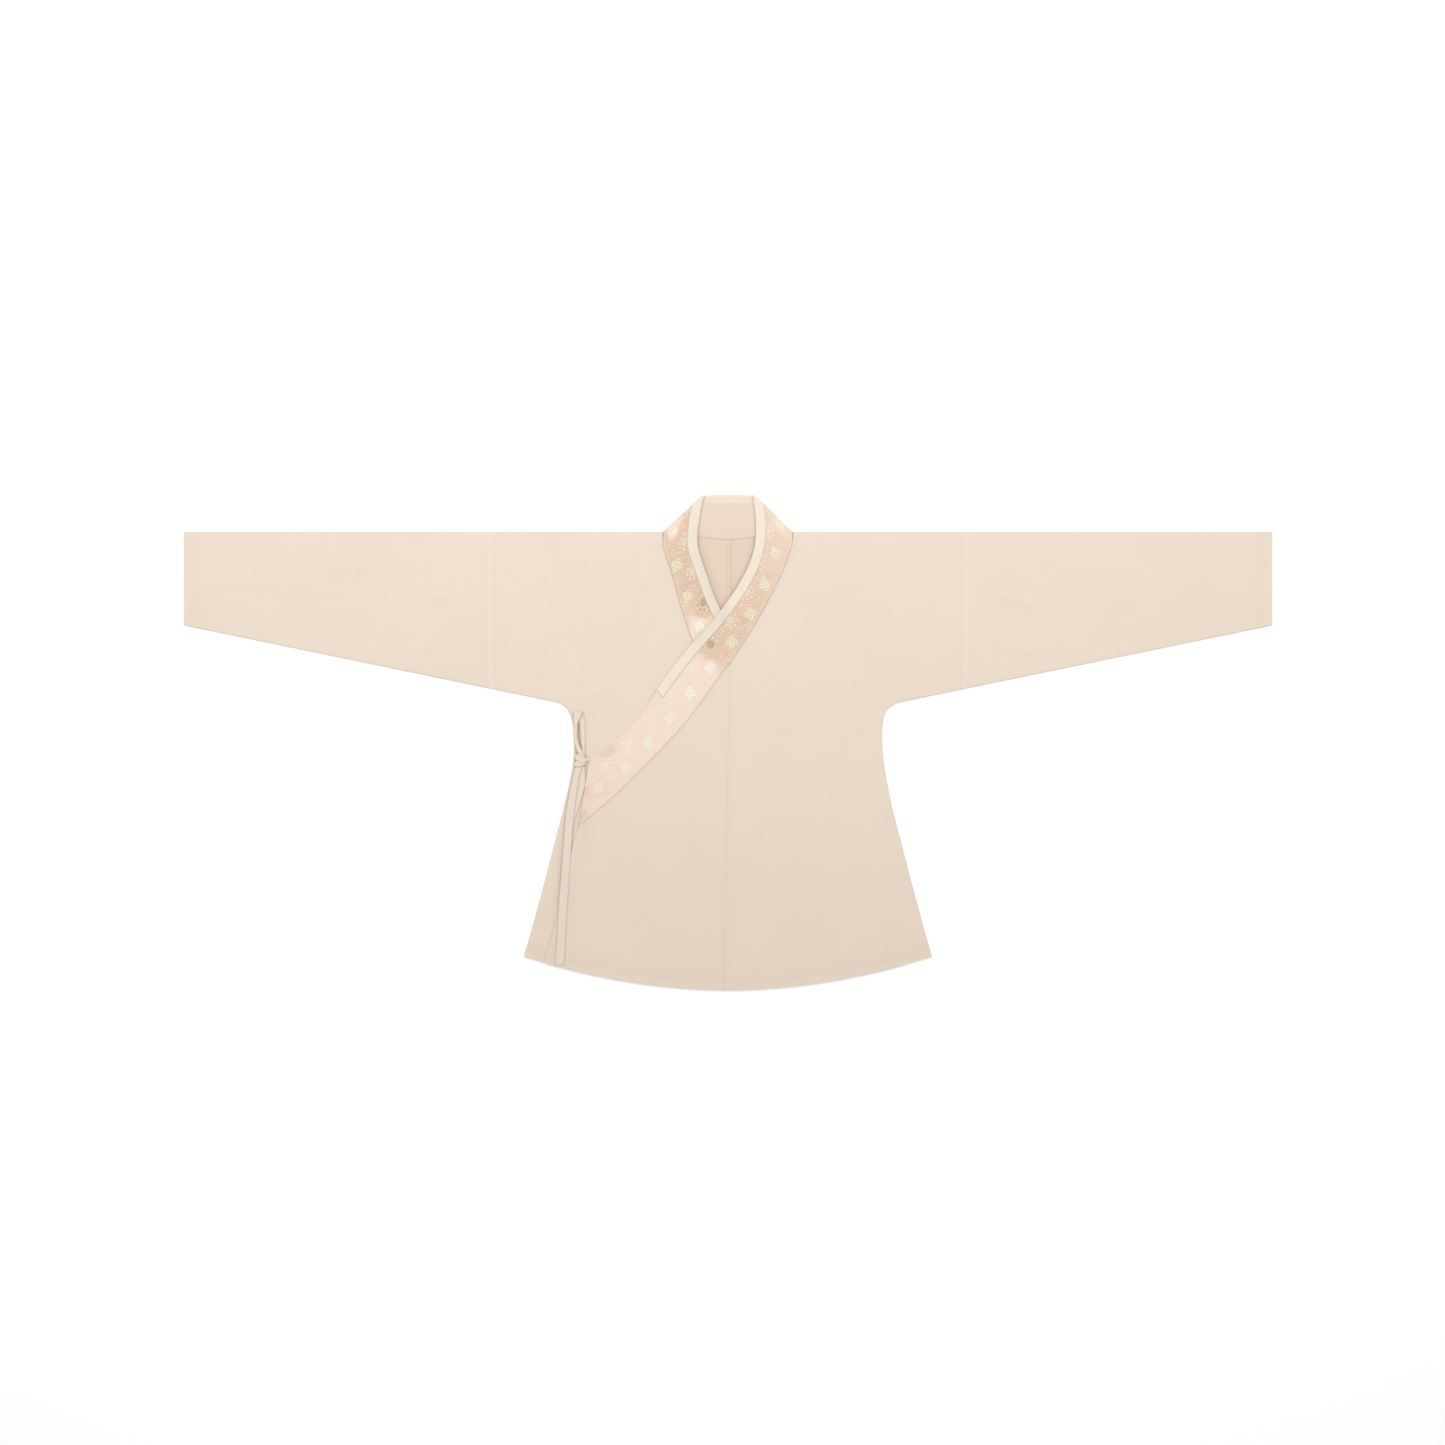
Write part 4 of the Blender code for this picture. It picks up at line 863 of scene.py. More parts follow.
@dataclass(frozen=True)
class Overlap:
    """The overlap of a front, between the centre, the collar's seam, its free edge and the hem."""

    cloth: Cloth
    outer: bool
    rows: int
    columns: int
    inner_start_y: float = 85.8 * MM
    inner_row: int = 13
    outer_row: int = 11
    outer_drop: float = 1.6 * MM
    edge_inset: float = 3.0 * MM

    def centre(self, y: Array) -> Array:
        """x of the edge at the centre front."""
        cut = self.cloth.cut
        return cut.centre(y) - cut.seam_gap / 2 if self.outer else cut.seam_gap / 2 + 0 * y

    def boundaries(self) -> tuple[Array, Array, Array, Array]:
        """The four edges.

        Returns:
            The hem and the collar's seam from the centre, the centre and the free edge from the hem.
        """
        cut, share, up = self.cloth.cut, np.linspace(0, 1, self.columns), np.linspace(0, 1, self.rows)
        edge = (OUTER_EDGE if self.outer else INNER_EDGE)[::-1].copy()
        edge[0, 1] = cut.hem(edge[0, 0])
        if self.outer:
            start = cut.centre_top[0] - cut.seam_gap / 2, cut.centre_top[1] - self.outer_drop
            seam = np.vstack([start, OUTER_COLLAR[self.outer_row:, SEAM]])
        else:
            seam = np.vstack([(cut.seam_gap / 2, self.inner_start_y), INNER_COLLAR[self.inner_row:, SEAM]])
        knots = running(seam)
        top = spline(knots, seam, share * knots[-1])
        top[:, 1] -= cut.seam_gap
        free = spline(np.arange(len(edge)), edge, up * (len(edge) - 1))
        free[-1] = top[-1]
        centre_y = mix(cut.hem(self.centre(cut.hem_y0)), top[0, 1], up)
        centre = np.column_stack([self.centre(centre_y), centre_y])
        hem_x = mix(centre[0, 0], free[0, 0], share)
        return np.column_stack([hem_x, cut.hem(hem_x)]), top, centre, free

    def piece(self) -> Piece:
        """The panel: a blend of its four boundaries.

        A place is the blend of the hem and the seam up the panel, plus that of the centre and the free edge
        across it, less the blend of the four corners.

        Returns:
            The piece.
        """
        cut, cloth = self.cloth.cut, self.cloth
        hem, top, centre, free = self.boundaries()
        s, t = across(self.columns)[..., None], down(self.rows)[..., None]
        corners = mix(mix(hem[0], hem[-1], s), mix(top[0], top[-1], s), t)
        plan = mix(hem[None], top[None], t) + mix(centre[:, None], free[:, None], s) - corners
        x, y = plan[..., 0], plan[..., 1]
        z = cut.over_top + cloth.front_height(x, y) if self.outer else cut.front_top
        sewn = distance_to(x, y, centre, top)
        turned = np.minimum(y - cut.hem(x), distance_to(x, y, free) + self.edge_inset)
        # Painted shade from the neighbours and the raised collar.
        painted_shading = cloth.shade(FRONT_SHADE, x, y) + cloth.collar_shade(x, y)
        patch = Patch(grid(x, y, z), sewn, turned, painted_shading)
        return Piece("outer_overlap" if self.outer else "inner_overlap", [patch])


@dataclass
class Band:
    """Stations along the collar band, from the inner front's tip over the back neck to the outer tip.

    At each station it holds a point of the neck edge and of the seam edge, the way out from the neck edge
    and how far the line is turned over, the height it rests at, the guard's lift, the height of the seam
    edge, how much longer a width is along the line than square to the neck edge, how level the back neck
    is, the row of its table and the part of the band it is on, the run along the band from the centre
    back, and the length and direction of the line from the neck edge to the seam edge.
    """

    cloth: Cloth
    steps: int = 6
    roll_steps: int = 8
    back_steps: int = 36
    back_ramps: tuple = (0.0, 1 / 6, 5 / 6, 1.0)
    stack: float = 3.6 * MM
    thick: float = 1.0 * MM
    drop: float = 1.3 * MM
    neck_axis: float = 3.75 * MM
    seam_axis: float = 1.25 * MM
    neck_top_y: float = 413.2 * MM
    inset: float = 2.0 * MM
    guard_share: float = 0.35
    guard_width: float = 16.5 * MM
    guard_inside: float = 14.0 * MM
    guard_end: float = 14.0
    inner_guard_end: float = 9.5
    edge_rise: float = 0.7 * MM
    hidden_rise: float = -0.15 * MM
    settle_rows: float = 2.0
    hidden_rows: Pair = (8.0, 11.0)
    crease_row: float = 0.5
    relief_rows: Pair = (3.0, 7.0)
    relief: Relief = Relief(COLLAR_CREASES, ripple=0.1 * MM, depth=1.0)
    neck: Array = field(init=False)
    seam: Array = field(init=False)
    out: Array = field(init=False)
    turn: Array = field(init=False)
    rest: Array = field(init=False)
    lift: Array = field(init=False)
    seam_top: Array = field(init=False)
    skew: Array = field(init=False)
    level: Array = field(init=False)
    row: Array = field(init=False)
    part: Array = field(init=False)
    run: Array = field(init=False)
    length: Array = field(init=False)
    along: Array = field(init=False)

    def __post_init__(self) -> None:
        """Lays out every station."""
        inner, outer = self.front(INNER_COLLAR), self.front(OUTER_COLLAR)
        back = self.back(inner, outer)
        inner_parts = inner, self.roll(inner, -0.5)
        turned = ({key: values[::-1] for key, values in part.items()} for part in inner_parts)
        order = *turned, back, self.roll(outer, 0.5), outer
        for key in back:
            setattr(self, key, np.concatenate([part[key] for part in order]))
        run = running(mix(self.neck, self.seam, 0.5))
        self.run = run - run[len(inner["row"]) + self.roll_steps - 1 + self.back_steps // 2]
        self.length = np.linalg.norm(self.seam - self.neck, axis=1)
        self.along = (self.seam - self.neck) / self.length[:, None]

    @staticmethod
    def stations(count: int, **given: Array | float) -> dict[str, Array]:
        """Stations in order.

        Args:
            count: How many there are.
            **given: Their values, or the one value that they all have.

        Returns:
            An array for each kind of value.
        """
        for key, value in given.items():
            size = np.shape(value)
            given[key] = value if size[:1] == (count,) else np.broadcast_to(value, (count, *size))
        return given

    def front(self, rows: Array) -> dict[str, Array]:
        """Stations of one front part, from its shoulder corner to its tip, smooth through the rows.

        Args:
            rows: The part's table.

        Returns:
            The stations' values.
        """
        cut, side = self.cloth.cut, Side.RIGHT if rows is INNER_COLLAR else Side.LEFT
        number, lines = through(rows, self.steps)
        knots = np.arange(len(rows))
        way, line = tangents(rows[:, NECK]), unit(rows[:, SEAM] - rows[:, NECK])
        skews = 1 / np.abs(way[:, 0] * line[:, 1] - way[:, 1] * line[:, 0])
        skews[0] = (skews[0] + 1 / abs(line[0, 1])) / 2
        seam = lines[:, SEAM]
        level = cut.face(side, seam[:, 0], seam[:, 1])
        level = np.where((side is Side.LEFT) & (seam[:, 0] < cut.centre_top[0]), cut.over_top, level)
        start, end = self.hidden_rows
        hidden = ease((number - start) / (end - start)) if side is Side.RIGHT else 0.0
        raised = level + mix(self.edge_rise, self.hidden_rise, hidden)
        return self.stations(
            len(number), neck=lines[:, NECK], seam=seam, out=(0.0, 0.0), turn=math.pi, level=0.0,
            rest=lines[:, REST], lift=np.interp(number, knots, rows[:, LIFT]),
            seam_top=mix(2 * self.seam_axis, raised, ease(number / self.settle_rows)),
            skew=np.interp(number, knots, skews), row=number, part=side.value,
        )

    def roll(self, front: dict[str, Array], part: float) -> dict[str, Array]:
        """Stations that turn the band over at a shoulder corner, from the back to the front.

        Args:
            front: Stations of the front part.
            part: What the new stations say of the part they are on.

        Returns:
            The stations' values.
        """
        first = {key: front[key][0] for key in ("neck", "seam", "rest", "lift", "skew")}
        along = unit(first["seam"] - first["neck"])
        out = np.array((-along[1], along[0])) * np.sign(along[0])
        turn = math.pi * np.arange(1, self.roll_steps) / self.roll_steps
        fixed = {"seam_top": 2 * self.seam_axis, "level": 0.0, "row": ROLL_ROW, "part": part}
        return self.stations(len(turn), **first, **fixed, out=out, turn=turn)

    def back(self, inner: dict[str, Array], outer: dict[str, Array]) -> dict[str, Array]:
        """Stations of the back neck, level between the two corners.

        Args:
            inner: Stations of the inner front part.
            outer: Stations of the outer front part.

        Returns:
            The stations' values.
        """
        share = np.linspace(0, 1, self.back_steps + 1)
        level = np.interp(share, self.back_ramps, (0, 1, 1, 0))
        neck = mix(inner["neck"][:1], outer["neck"][:1], share[:, None])
        neck[:, 1] = mix(neck[:, 1], self.neck_top_y, level)
        seam_x = mix(inner["seam"][0, 0], outer["seam"][0, 0], share)
        seam = np.column_stack([seam_x, self.cloth.cut.back_neck(seam_x)])
        corner = np.where(share < 0.5, inner["skew"][0], outer["skew"][0])
        return self.stations(
            len(share), neck=neck, seam=seam, out=(0.0, 1.0), turn=0.0, level=level,
            rest=inner["rest"][0], lift=inner["lift"][0], seam_top=2 * self.seam_axis,
            skew=mix(corner, 1 / np.abs(unit(seam - neck)[:, 1]), level), row=BACK_ROW, part=0.0,
        )

    def guard_ends(self) -> Array:
        """The row at which the guard ends, at each station: none round the neck."""
        end = np.where(self.part == Side.LEFT.value, self.guard_end, np.inf)
        return np.where(self.part == Side.RIGHT.value, self.inner_guard_end, end)

    def place(self, distance: Array, depth: Array, front_z: Array, axis: Array) -> Array:
        """Places on the band at a distance from the neck edge and a depth under its outer face.

        On a front part the height is given. On the back and round the corners the place turns about an
        axis: out by the axis less the depth times the sine of the turn, up by the axis less that arm times
        the cosine. The fronts carry the collar's creases, and below the neck the front's own too.

        Args:
            distance: Distances along each line, stations by columns.
            depth: Depths, alike.
            front_z: Heights on the front parts, alike.
            axis: Heights of the turning axis, alike.

        Returns:
            Places, stations by columns.
        """
        turn, row, arm = self.turn[:, None], self.row[:, None], axis - depth
        reach = (arm * np.sin(turn))[..., None]
        plan = self.neck[:, None] + self.along[:, None] * distance[..., None] + self.out[:, None] * reach
        x, y = plan[..., 0], plan[..., 1]
        z = np.where(row >= 0, front_z, axis - arm * np.cos(turn))
        z = z + self.relief.height(x, y) * (row > self.crease_row)
        start, end = self.relief_rows
        return grid(x, y, z + self.cloth.front_height(x, y) * ease((row - start) / (end - start)))


@dataclass(frozen=True)
class Brocade:
    """The brocade of the collar band."""

    band: Band
    columns: int = 34
    bare_inset: float = 0.4 * MM
    round_edge: float = 2.2 * MM
    seam_sink: float = 0.8 * MM
    bare_sink: float = 0.5 * MM
    back_sink: float = 0.4
    guard_fade: float = 0.6
    # Limits of the painted satin light and shade.
    shading_limits: Pair = (-0.4, 1.2)

    def piece(self) -> Piece:
        """The band: level near the neck edge, then falling smoothly to its seam edge, which turns down.

        Each line's height is a smooth step from the neck side's height to the seam's. The coordinates on
        the cloth run along the band, and across it from a straight thread of the weave.

        Returns:
            The piece.
        """
        band = self.band
        guarded = ease((band.guard_ends() + self.guard_fade / 2 - band.row) / self.guard_fade)[:, None]
        skew, length = band.skew[:, None], band.length[:, None]
        inset = mix(self.bare_inset, band.inset * skew, guarded)
        share = across(self.columns)
        distance = mix(inset, length, share)
        rise = ease((share - band.guard_share) / (1 - band.guard_share))
        to_seam = length - distance
        bevel = 1 - np.sqrt(1 - (1 - to_seam / self.round_edge).clip(0, 1) ** 2)
        bare = (1 - guarded) * (1 - (distance - inset) / self.round_edge).clip(0, 1) ** 2
        sunk = self.seam_sink * bevel + self.bare_sink * bare
        neck_top = (band.rest + band.lift + band.thick)[:, None]
        front_z = mix(neck_top, band.seam_top[:, None], rise) - sunk
        depth = band.drop * (1 - rise) + self.back_sink * sunk
        places = band.place(distance, depth, front_z, mix(band.neck_axis, band.seam_axis, rise))
        turned = np.where(guarded > 0.5, np.abs(distance - band.guard_width * skew), distance - inset)
        thread = distance + np.interp(band.run, *GRAIN_DRIFT.T)[:, None]
        patch = Patch(places, to_seam, turned, self.painted_shading(places), grid(band.run[:, None], thread))
        return Piece("collar", [patch], wall=0.7 * MM, slot=Slot.BROCADE, name="collar_brocade")

    def painted_shading(self, places: Array) -> Array:
        """Painted satin shading, as how far it turns from light: a share along the band, and bells at spots.

        Args:
            places: Places on the band.

        Returns:
            One share for each place.
        """
        knots, shares = SATIN_TURN.T
        total = np.interp(self.band.run, knots * MM, shares)[:, None]
        for part, x, y, radius, strength in SATIN_SPOTS:
            away = np.hypot(places[..., 0] - x * MM, places[..., 1] - y * MM) / (radius * MM)
            total = total + strength * bell(away) * (self.band.part == part)[:, None]
        return np.clip(total, *self.shading_limits)


@dataclass(frozen=True)
class Guard:
    """The plain strip folded round the collar's neck edge."""

    band: Band
    leg_columns: int = 12
    bend_columns: int = 9
    inside_columns: int = 5
    tucked: float = 10.0 * MM
    edge_turn: float = 1.6 * MM
    edge_sink: float = 0.7 * MM
    swelling: float = 0.2 * MM

    def piece(self) -> Piece:
        """The strip: a leg on the brocade, a half circle round the neck edge, and a leg inside.

        Returns:
            The piece.
        """
        band, bend = self.band, self.band.stack / 2
        inside = mix(self.tucked, band.guard_inside, band.level)[:, None]
        leg = np.linspace(band.guard_width, bend, self.leg_columns, endpoint=False)[None, :]
        turn = math.pi * across(self.bend_columns)
        tail = mix(bend, inside, across(self.inside_columns + 1)[:, 1:])
        edge = (1 - (band.guard_width - leg) / self.edge_turn).clip(0, 1) ** 2
        swell = np.sin(math.pi * (band.guard_width - leg) / (band.guard_width - bend))
        strips = (
            (leg, self.edge_sink * edge - self.swelling * swell, inside),
            (bend - bend * np.sin(turn), bend - bend * np.cos(turn), inside),
            (tail, band.stack, inside),
        )
        distance, depth, _ = np.moveaxis(np.concatenate([grid(*strip) for strip in strips], axis=1), -1, 0)
        distance = distance * band.skew[:, None]
        places = band.place(distance, depth, band.rest[:, None] + band.stack - depth, band.neck_axis)
        kept = band.row <= band.guard_ends()
        cloth = grid(band.run[:, None], distance)
        sewn = np.abs(distance - distance[:, :1])
        # Painted shade on the strip, from its table.
        painted_shading = band.cloth.shade(GUARD_SHADE, places[..., 0], places[..., 1])
        patch = Patch(places[kept], sewn[kept], painted_shading=painted_shading[kept], cloth=cloth[kept])
        return Piece("collar_guard", [patch], wall=0.7 * MM, slot=Slot.GUARD)


@dataclass(frozen=True)
class Facing:
    """The inside of the back collar, seen in the neck opening."""

    band: Band
    top_x: float = 51.0 * MM
    low_x: float = 62.0 * MM
    rows: int = 26
    columns: int = 44
    pressed: float = 0.75 * MM
    press_reach: float = 9.0 * MM
    swell: float = 0.25 * MM
    swells: Pair = (5.0, 1.0)

    def piece(self) -> Piece:
        """The strip: level under the guard's edge, then falling smoothly to the back neckline.

        Returns:
            The piece.
        """
        band, fall = self.band, down(self.rows)
        wide = 2 * across(self.columns) - 1
        x = wide * mix(self.top_x, self.low_x, fall)
        low = band.cloth.cut.back_neck(x)
        top = band.neck_top_y - band.guard_inside - band.cloth.cut.seam_gap
        y = mix(top, low, fall)
        share = (band.neck_top_y - band.inset - y) / (band.neck_top_y - low)
        rise = ease((share - band.guard_share) / (1 - band.guard_share))
        z = band.drop * (2 - rise) + band.thick - self.pressed * ease(1 - (y - low) / self.press_reach)
        z = z + self.swell * np.sin(wide * self.swells[0] + self.swells[1]) * np.sin(math.pi * fall)
        return Piece("collar_facing", [Patch(grid(x, y, z), np.minimum(y - low, top - y))], wall=0.9 * MM)


@dataclass(frozen=True)
class Ribbon:
    """A narrow tie: a flat tube of cloth carried along a path."""

    cloth: Cloth
    thick: float = 1.1 * MM
    pleats: float = 0.06
    rise: float = 0.5 * MM
    steps: int = 7
    around: int = 32
    wall: float = 0.4 * MM
    squareness: Pair = (0.6, 0.8)
    hollow: float = 0.22
    end_height: float = 0.55
    end_width: float = 0.973

    def laid(self, rows: Array) -> tuple[Array, Array]:
        """One stretch, smooth through its rows and raised by the front's creases.

        Args:
            rows: The stretch's table.

        Returns:
            Its middle line and its widths.
        """
        _, line = through(rows, self.steps)
        line[:, 2] += self.rise + self.cloth.front_height(line[:, 0], line[:, 1])
        return line[:, :3], line[:, 3]

    def sweep(self, path: Array, sideways: Array, widths: Array) -> Patch:
        """The tube: at each point an ellipse with squared ends, wide along one direction, with long pleats.

        Args:
            path: Middle of the tube.
            sideways: Unit direction of its width at each point.
            widths: Its width at each point.

        Returns:
            A closed patch, a row for each point.
        """
        way = tangents(path)
        sideways = unit(sideways - way * (sideways * way).sum(axis=1, keepdims=True))
        normal = unit(np.cross(way, sideways))
        angle = np.linspace(0, 2 * math.pi, self.around, endpoint=False)[None, :]
        round_shape = zip((np.cos(angle), np.sin(angle)), self.squareness)
        flat, high = (np.sign(part) * np.abs(part) ** power for part, power in round_shape)
        half, tall = widths[:, None] / 2, np.full((len(path), 1), self.thick / 2)
        half[[0, -1]] *= self.end_width
        tall[[0, -1]] *= self.end_height
        ripple = 1 - self.hollow * np.cos(2 * angle) ** 2 + self.pleats * np.cos(3 * math.pi * flat)
        wide, tall = (half * flat)[..., None], (tall * high * ripple)[..., None]
        places = path[:, None] + sideways[:, None] * wide + normal[:, None] * tall
        run = running(path)
        LOG.info("tie: %.3f m along its middle", run[-1])
        cloth = grid(half * flat, run[:, None])
        return Patch(places, half * (1 - np.abs(flat)), cloth=cloth, wraps=True)


@dataclass(frozen=True)
class SideTie(Ribbon):
    """The side's tie: sewn end, up through the knot, loop, back through the knot and down to the hem."""

    loop_steps: int = 8

    def piece(self) -> Piece:
        """The tie as one tube, its loop a half circle that stands on the end of both stretches.

        Returns:
            The piece.
        """
        (under, widths), (over, over_widths) = self.laid(TIE_UNDER), self.laid(TIE_OVER)
        ways = []
        for path in (under, over):
            way = tangents(path[:, :2])
            ways.append(np.column_stack([-way[:, 1], way[:, 0], 0 * way[:, 0]]))
        end, start = under[-1], over[0]
        share = np.arange(1, self.loop_steps) / self.loop_steps
        angle, radius = math.pi * share, (start[2] - end[2]) / 2
        y, z = end[1] + radius * np.sin(angle), end[2] + radius * (1 - np.cos(angle))
        loop = np.column_stack([mix(end[0], start[0], share), y, z])
        path = np.concatenate([under, loop, over])
        ways.insert(1, unit(mix(ways[0][-1], -ways[1][0], share[:, None])))
        ways[2] = -ways[2]
        widths = np.concatenate([widths, np.full(len(loop), widths[-1]), over_widths])
        return Piece("side_tie", [self.sweep(path, np.concatenate(ways), widths)], self.wall)


@dataclass(frozen=True)
class CollarTie(Ribbon):
    """The collar's tie: from the collar's corner twice round the other tie, as its knot."""

    thick: float = 1.2 * MM
    pleats: float = 0.2
    rise: float = 0.0
    steps: int = 8

    def piece(self) -> Piece:
        """The knot: a tube through the rows, its upper strand crossing over its lower one."""
        path, widths = self.laid(KNOT)
        return Piece("collar_tie", [self.sweep(path, np.tile((0, 1, 0), (len(path), 1)), widths)], self.wall)


@dataclass(frozen=True)
class BackFell:
    """The centre-back seam's allowance, pressed to the wearer's right inside the garment."""

    cloth: Cloth
    width: float = 6.4 * MM
    back_wall: float = 1.0 * MM
    rise: float = 0.4 * MM
    squareness: int = 6
    above_hem: float = 14.0 * MM
    below_neck: float = 0.6 * MM
    rows: int = 90
    columns: int = 9

    def piece(self) -> Piece:
        """The strip: a level top with both edges rolled down, from above the hem to the neckline.

        Returns:
            The piece.
        """
        cut, share = self.cloth.cut, across(self.columns)
        x = cut.centre_back_x - self.width * share
        top = cut.back_neck(cut.centre_back_x) - self.below_neck
        y = mix(cut.hem_y0 + self.above_hem, top, down(self.rows))
        rolled = 1 - np.abs(2 * share - 1) ** self.squareness
        z = self.back_wall + self.rise * rolled + self.cloth.back_height(x + 0 * y, y + 0 * x, np.inf)
        patch = Patch(grid(x, y, z), np.minimum(share, 1 - share) * self.width)
        return Piece("", [patch], wall=0.3 * MM, name="back_seam_fell")


@dataclass(frozen=True)
class Stitching:
    """Rows of running stitches laid on the cloth."""

    cloth: Cloth
    pitch: float = 3.6 * MM
    share: float = 0.62
    half_width: float = 0.28 * MM
    rise: float = 0.3 * MM
    sleeve_row: float = 6.6 * MM
    cuff_rows: Pair = (4.2 * MM, 11.8 * MM)
    hem_row: float = 12.4 * MM
    centre_row: float = 5.4 * MM
    hems: tuple = ((8.0, 336.0, Side.LEFT), (-10.0, -303.0, None), (-314.0, -336.0, Side.RIGHT))
    stops: tuple = (0.0, 0.25, 0.75, 1.0)
    widths: tuple = (0.25, 1.0, 1.0, 0.25)
    heights: tuple = (-0.1, 1.0, 1.0, -0.1)
    edge_height: float = 0.2
    points: int = 120
    seam_margin: float = 6.0 * MM
    cuff_margin: float = 4.0 * MM
    top_margin: float = 3.0 * MM
    centre_top_y: float = 120.0 * MM
    sunk: float = 0.05 * MM

    def lines(self) -> list[tuple[Array, Side | None]]:
        """Each stitched line in plan, and the half it lies on, or none for the outer overlap.

        Returns:
            Lines and sides: of each half the sleeve seam and the cuff, then the hem and the centre front.
        """
        cut, made, share = self.cloth.cut, [], np.linspace(0, 1, self.points)
        high = cut.shoulder_y - self.top_margin
        for side in Side:
            y = mix(cut.underarm(cut.seam_low_x) + self.seam_margin, high, share)
            made.append((side.value * (cut.sleeve_seam(y) - self.sleeve_row), y, side))
            for x in (cut.cuff_x - inside for inside in self.cuff_rows):
                made.append((side.value * x, mix(cut.underarm(x) + self.cuff_margin, high, share), side))
        for start, end, side in self.hems:
            x = mix(start, end, share) * MM
            made.append((x, cut.hem(x) + self.hem_row, side))
        y = mix(cut.hem_y0 + self.seam_margin, self.centre_top_y, share)
        made.append((cut.centre(y) + self.centre_row, y, Side.LEFT))
        return [(grid(x, y), side) for x, y, side in made]

    def stitches(self, line: Array, on: Side | None) -> Array:
        """Stitches along a line: each a lozenge that starts and ends in the cloth, with its middle raised.

        Args:
            line: Points of the line in plan.
            on: The half it lies on, or none for the outer overlap.

        Returns:
            Places: four sections of three for each stitch.
        """
        cut, run = self.cloth.cut, running(line)
        starts = np.arange(0, run[-1] - self.pitch, self.pitch)[:, None]
        at = starts + np.array(self.stops) * self.pitch * self.share
        x, y = (np.interp(at, run, line[:, i]) for i in (0, 1))
        z = (cut.face(on, x, y) if on else cut.over_top) + self.cloth.front_height(x, y)
        way = unit(np.stack([x[:, -1] - x[:, 0], y[:, -1] - y[:, 0]], -1))[:, None]
        side = np.array(self.widths)[:, None] * self.half_width * way[..., ::-1] * (-1, 1)
        up = np.array(self.heights) * self.rise
        middle, low = grid(x, y), (z + self.edge_height * up - self.sunk)[..., None]
        one, other = (np.concatenate([middle + way * side, low], -1) for way in (1, -1))
        return np.stack([one, grid(x, y, z + up), other], axis=2)

    def build(self, material: bpy.types.Material) -> bpy.types.Object:
        """All rows as one object.

        Args:
            material: Its finish.

        Returns:
            The object.
        """
        places = np.concatenate([self.stitches(*line) for line in self.lines()])
        quads = np.array([(0, 1, 4, 3), (1, 2, 5, 4), (2, 0, 3, 5)])
        one = np.concatenate([quads, quads + 3, quads + 6])
        faces = (one + 12 * np.arange(len(places))[:, None, None]).reshape(-1, 4)
        mesh = bpy.data.meshes.new("stitching")
        mesh.from_pydata(places.reshape(-1, 3), [], faces)
        mesh.materials.append(material)
        made = add("stitching", mesh)
        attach(made, "root")
        LOG.info("stitching: %d faces", len(mesh.polygons))
        return made


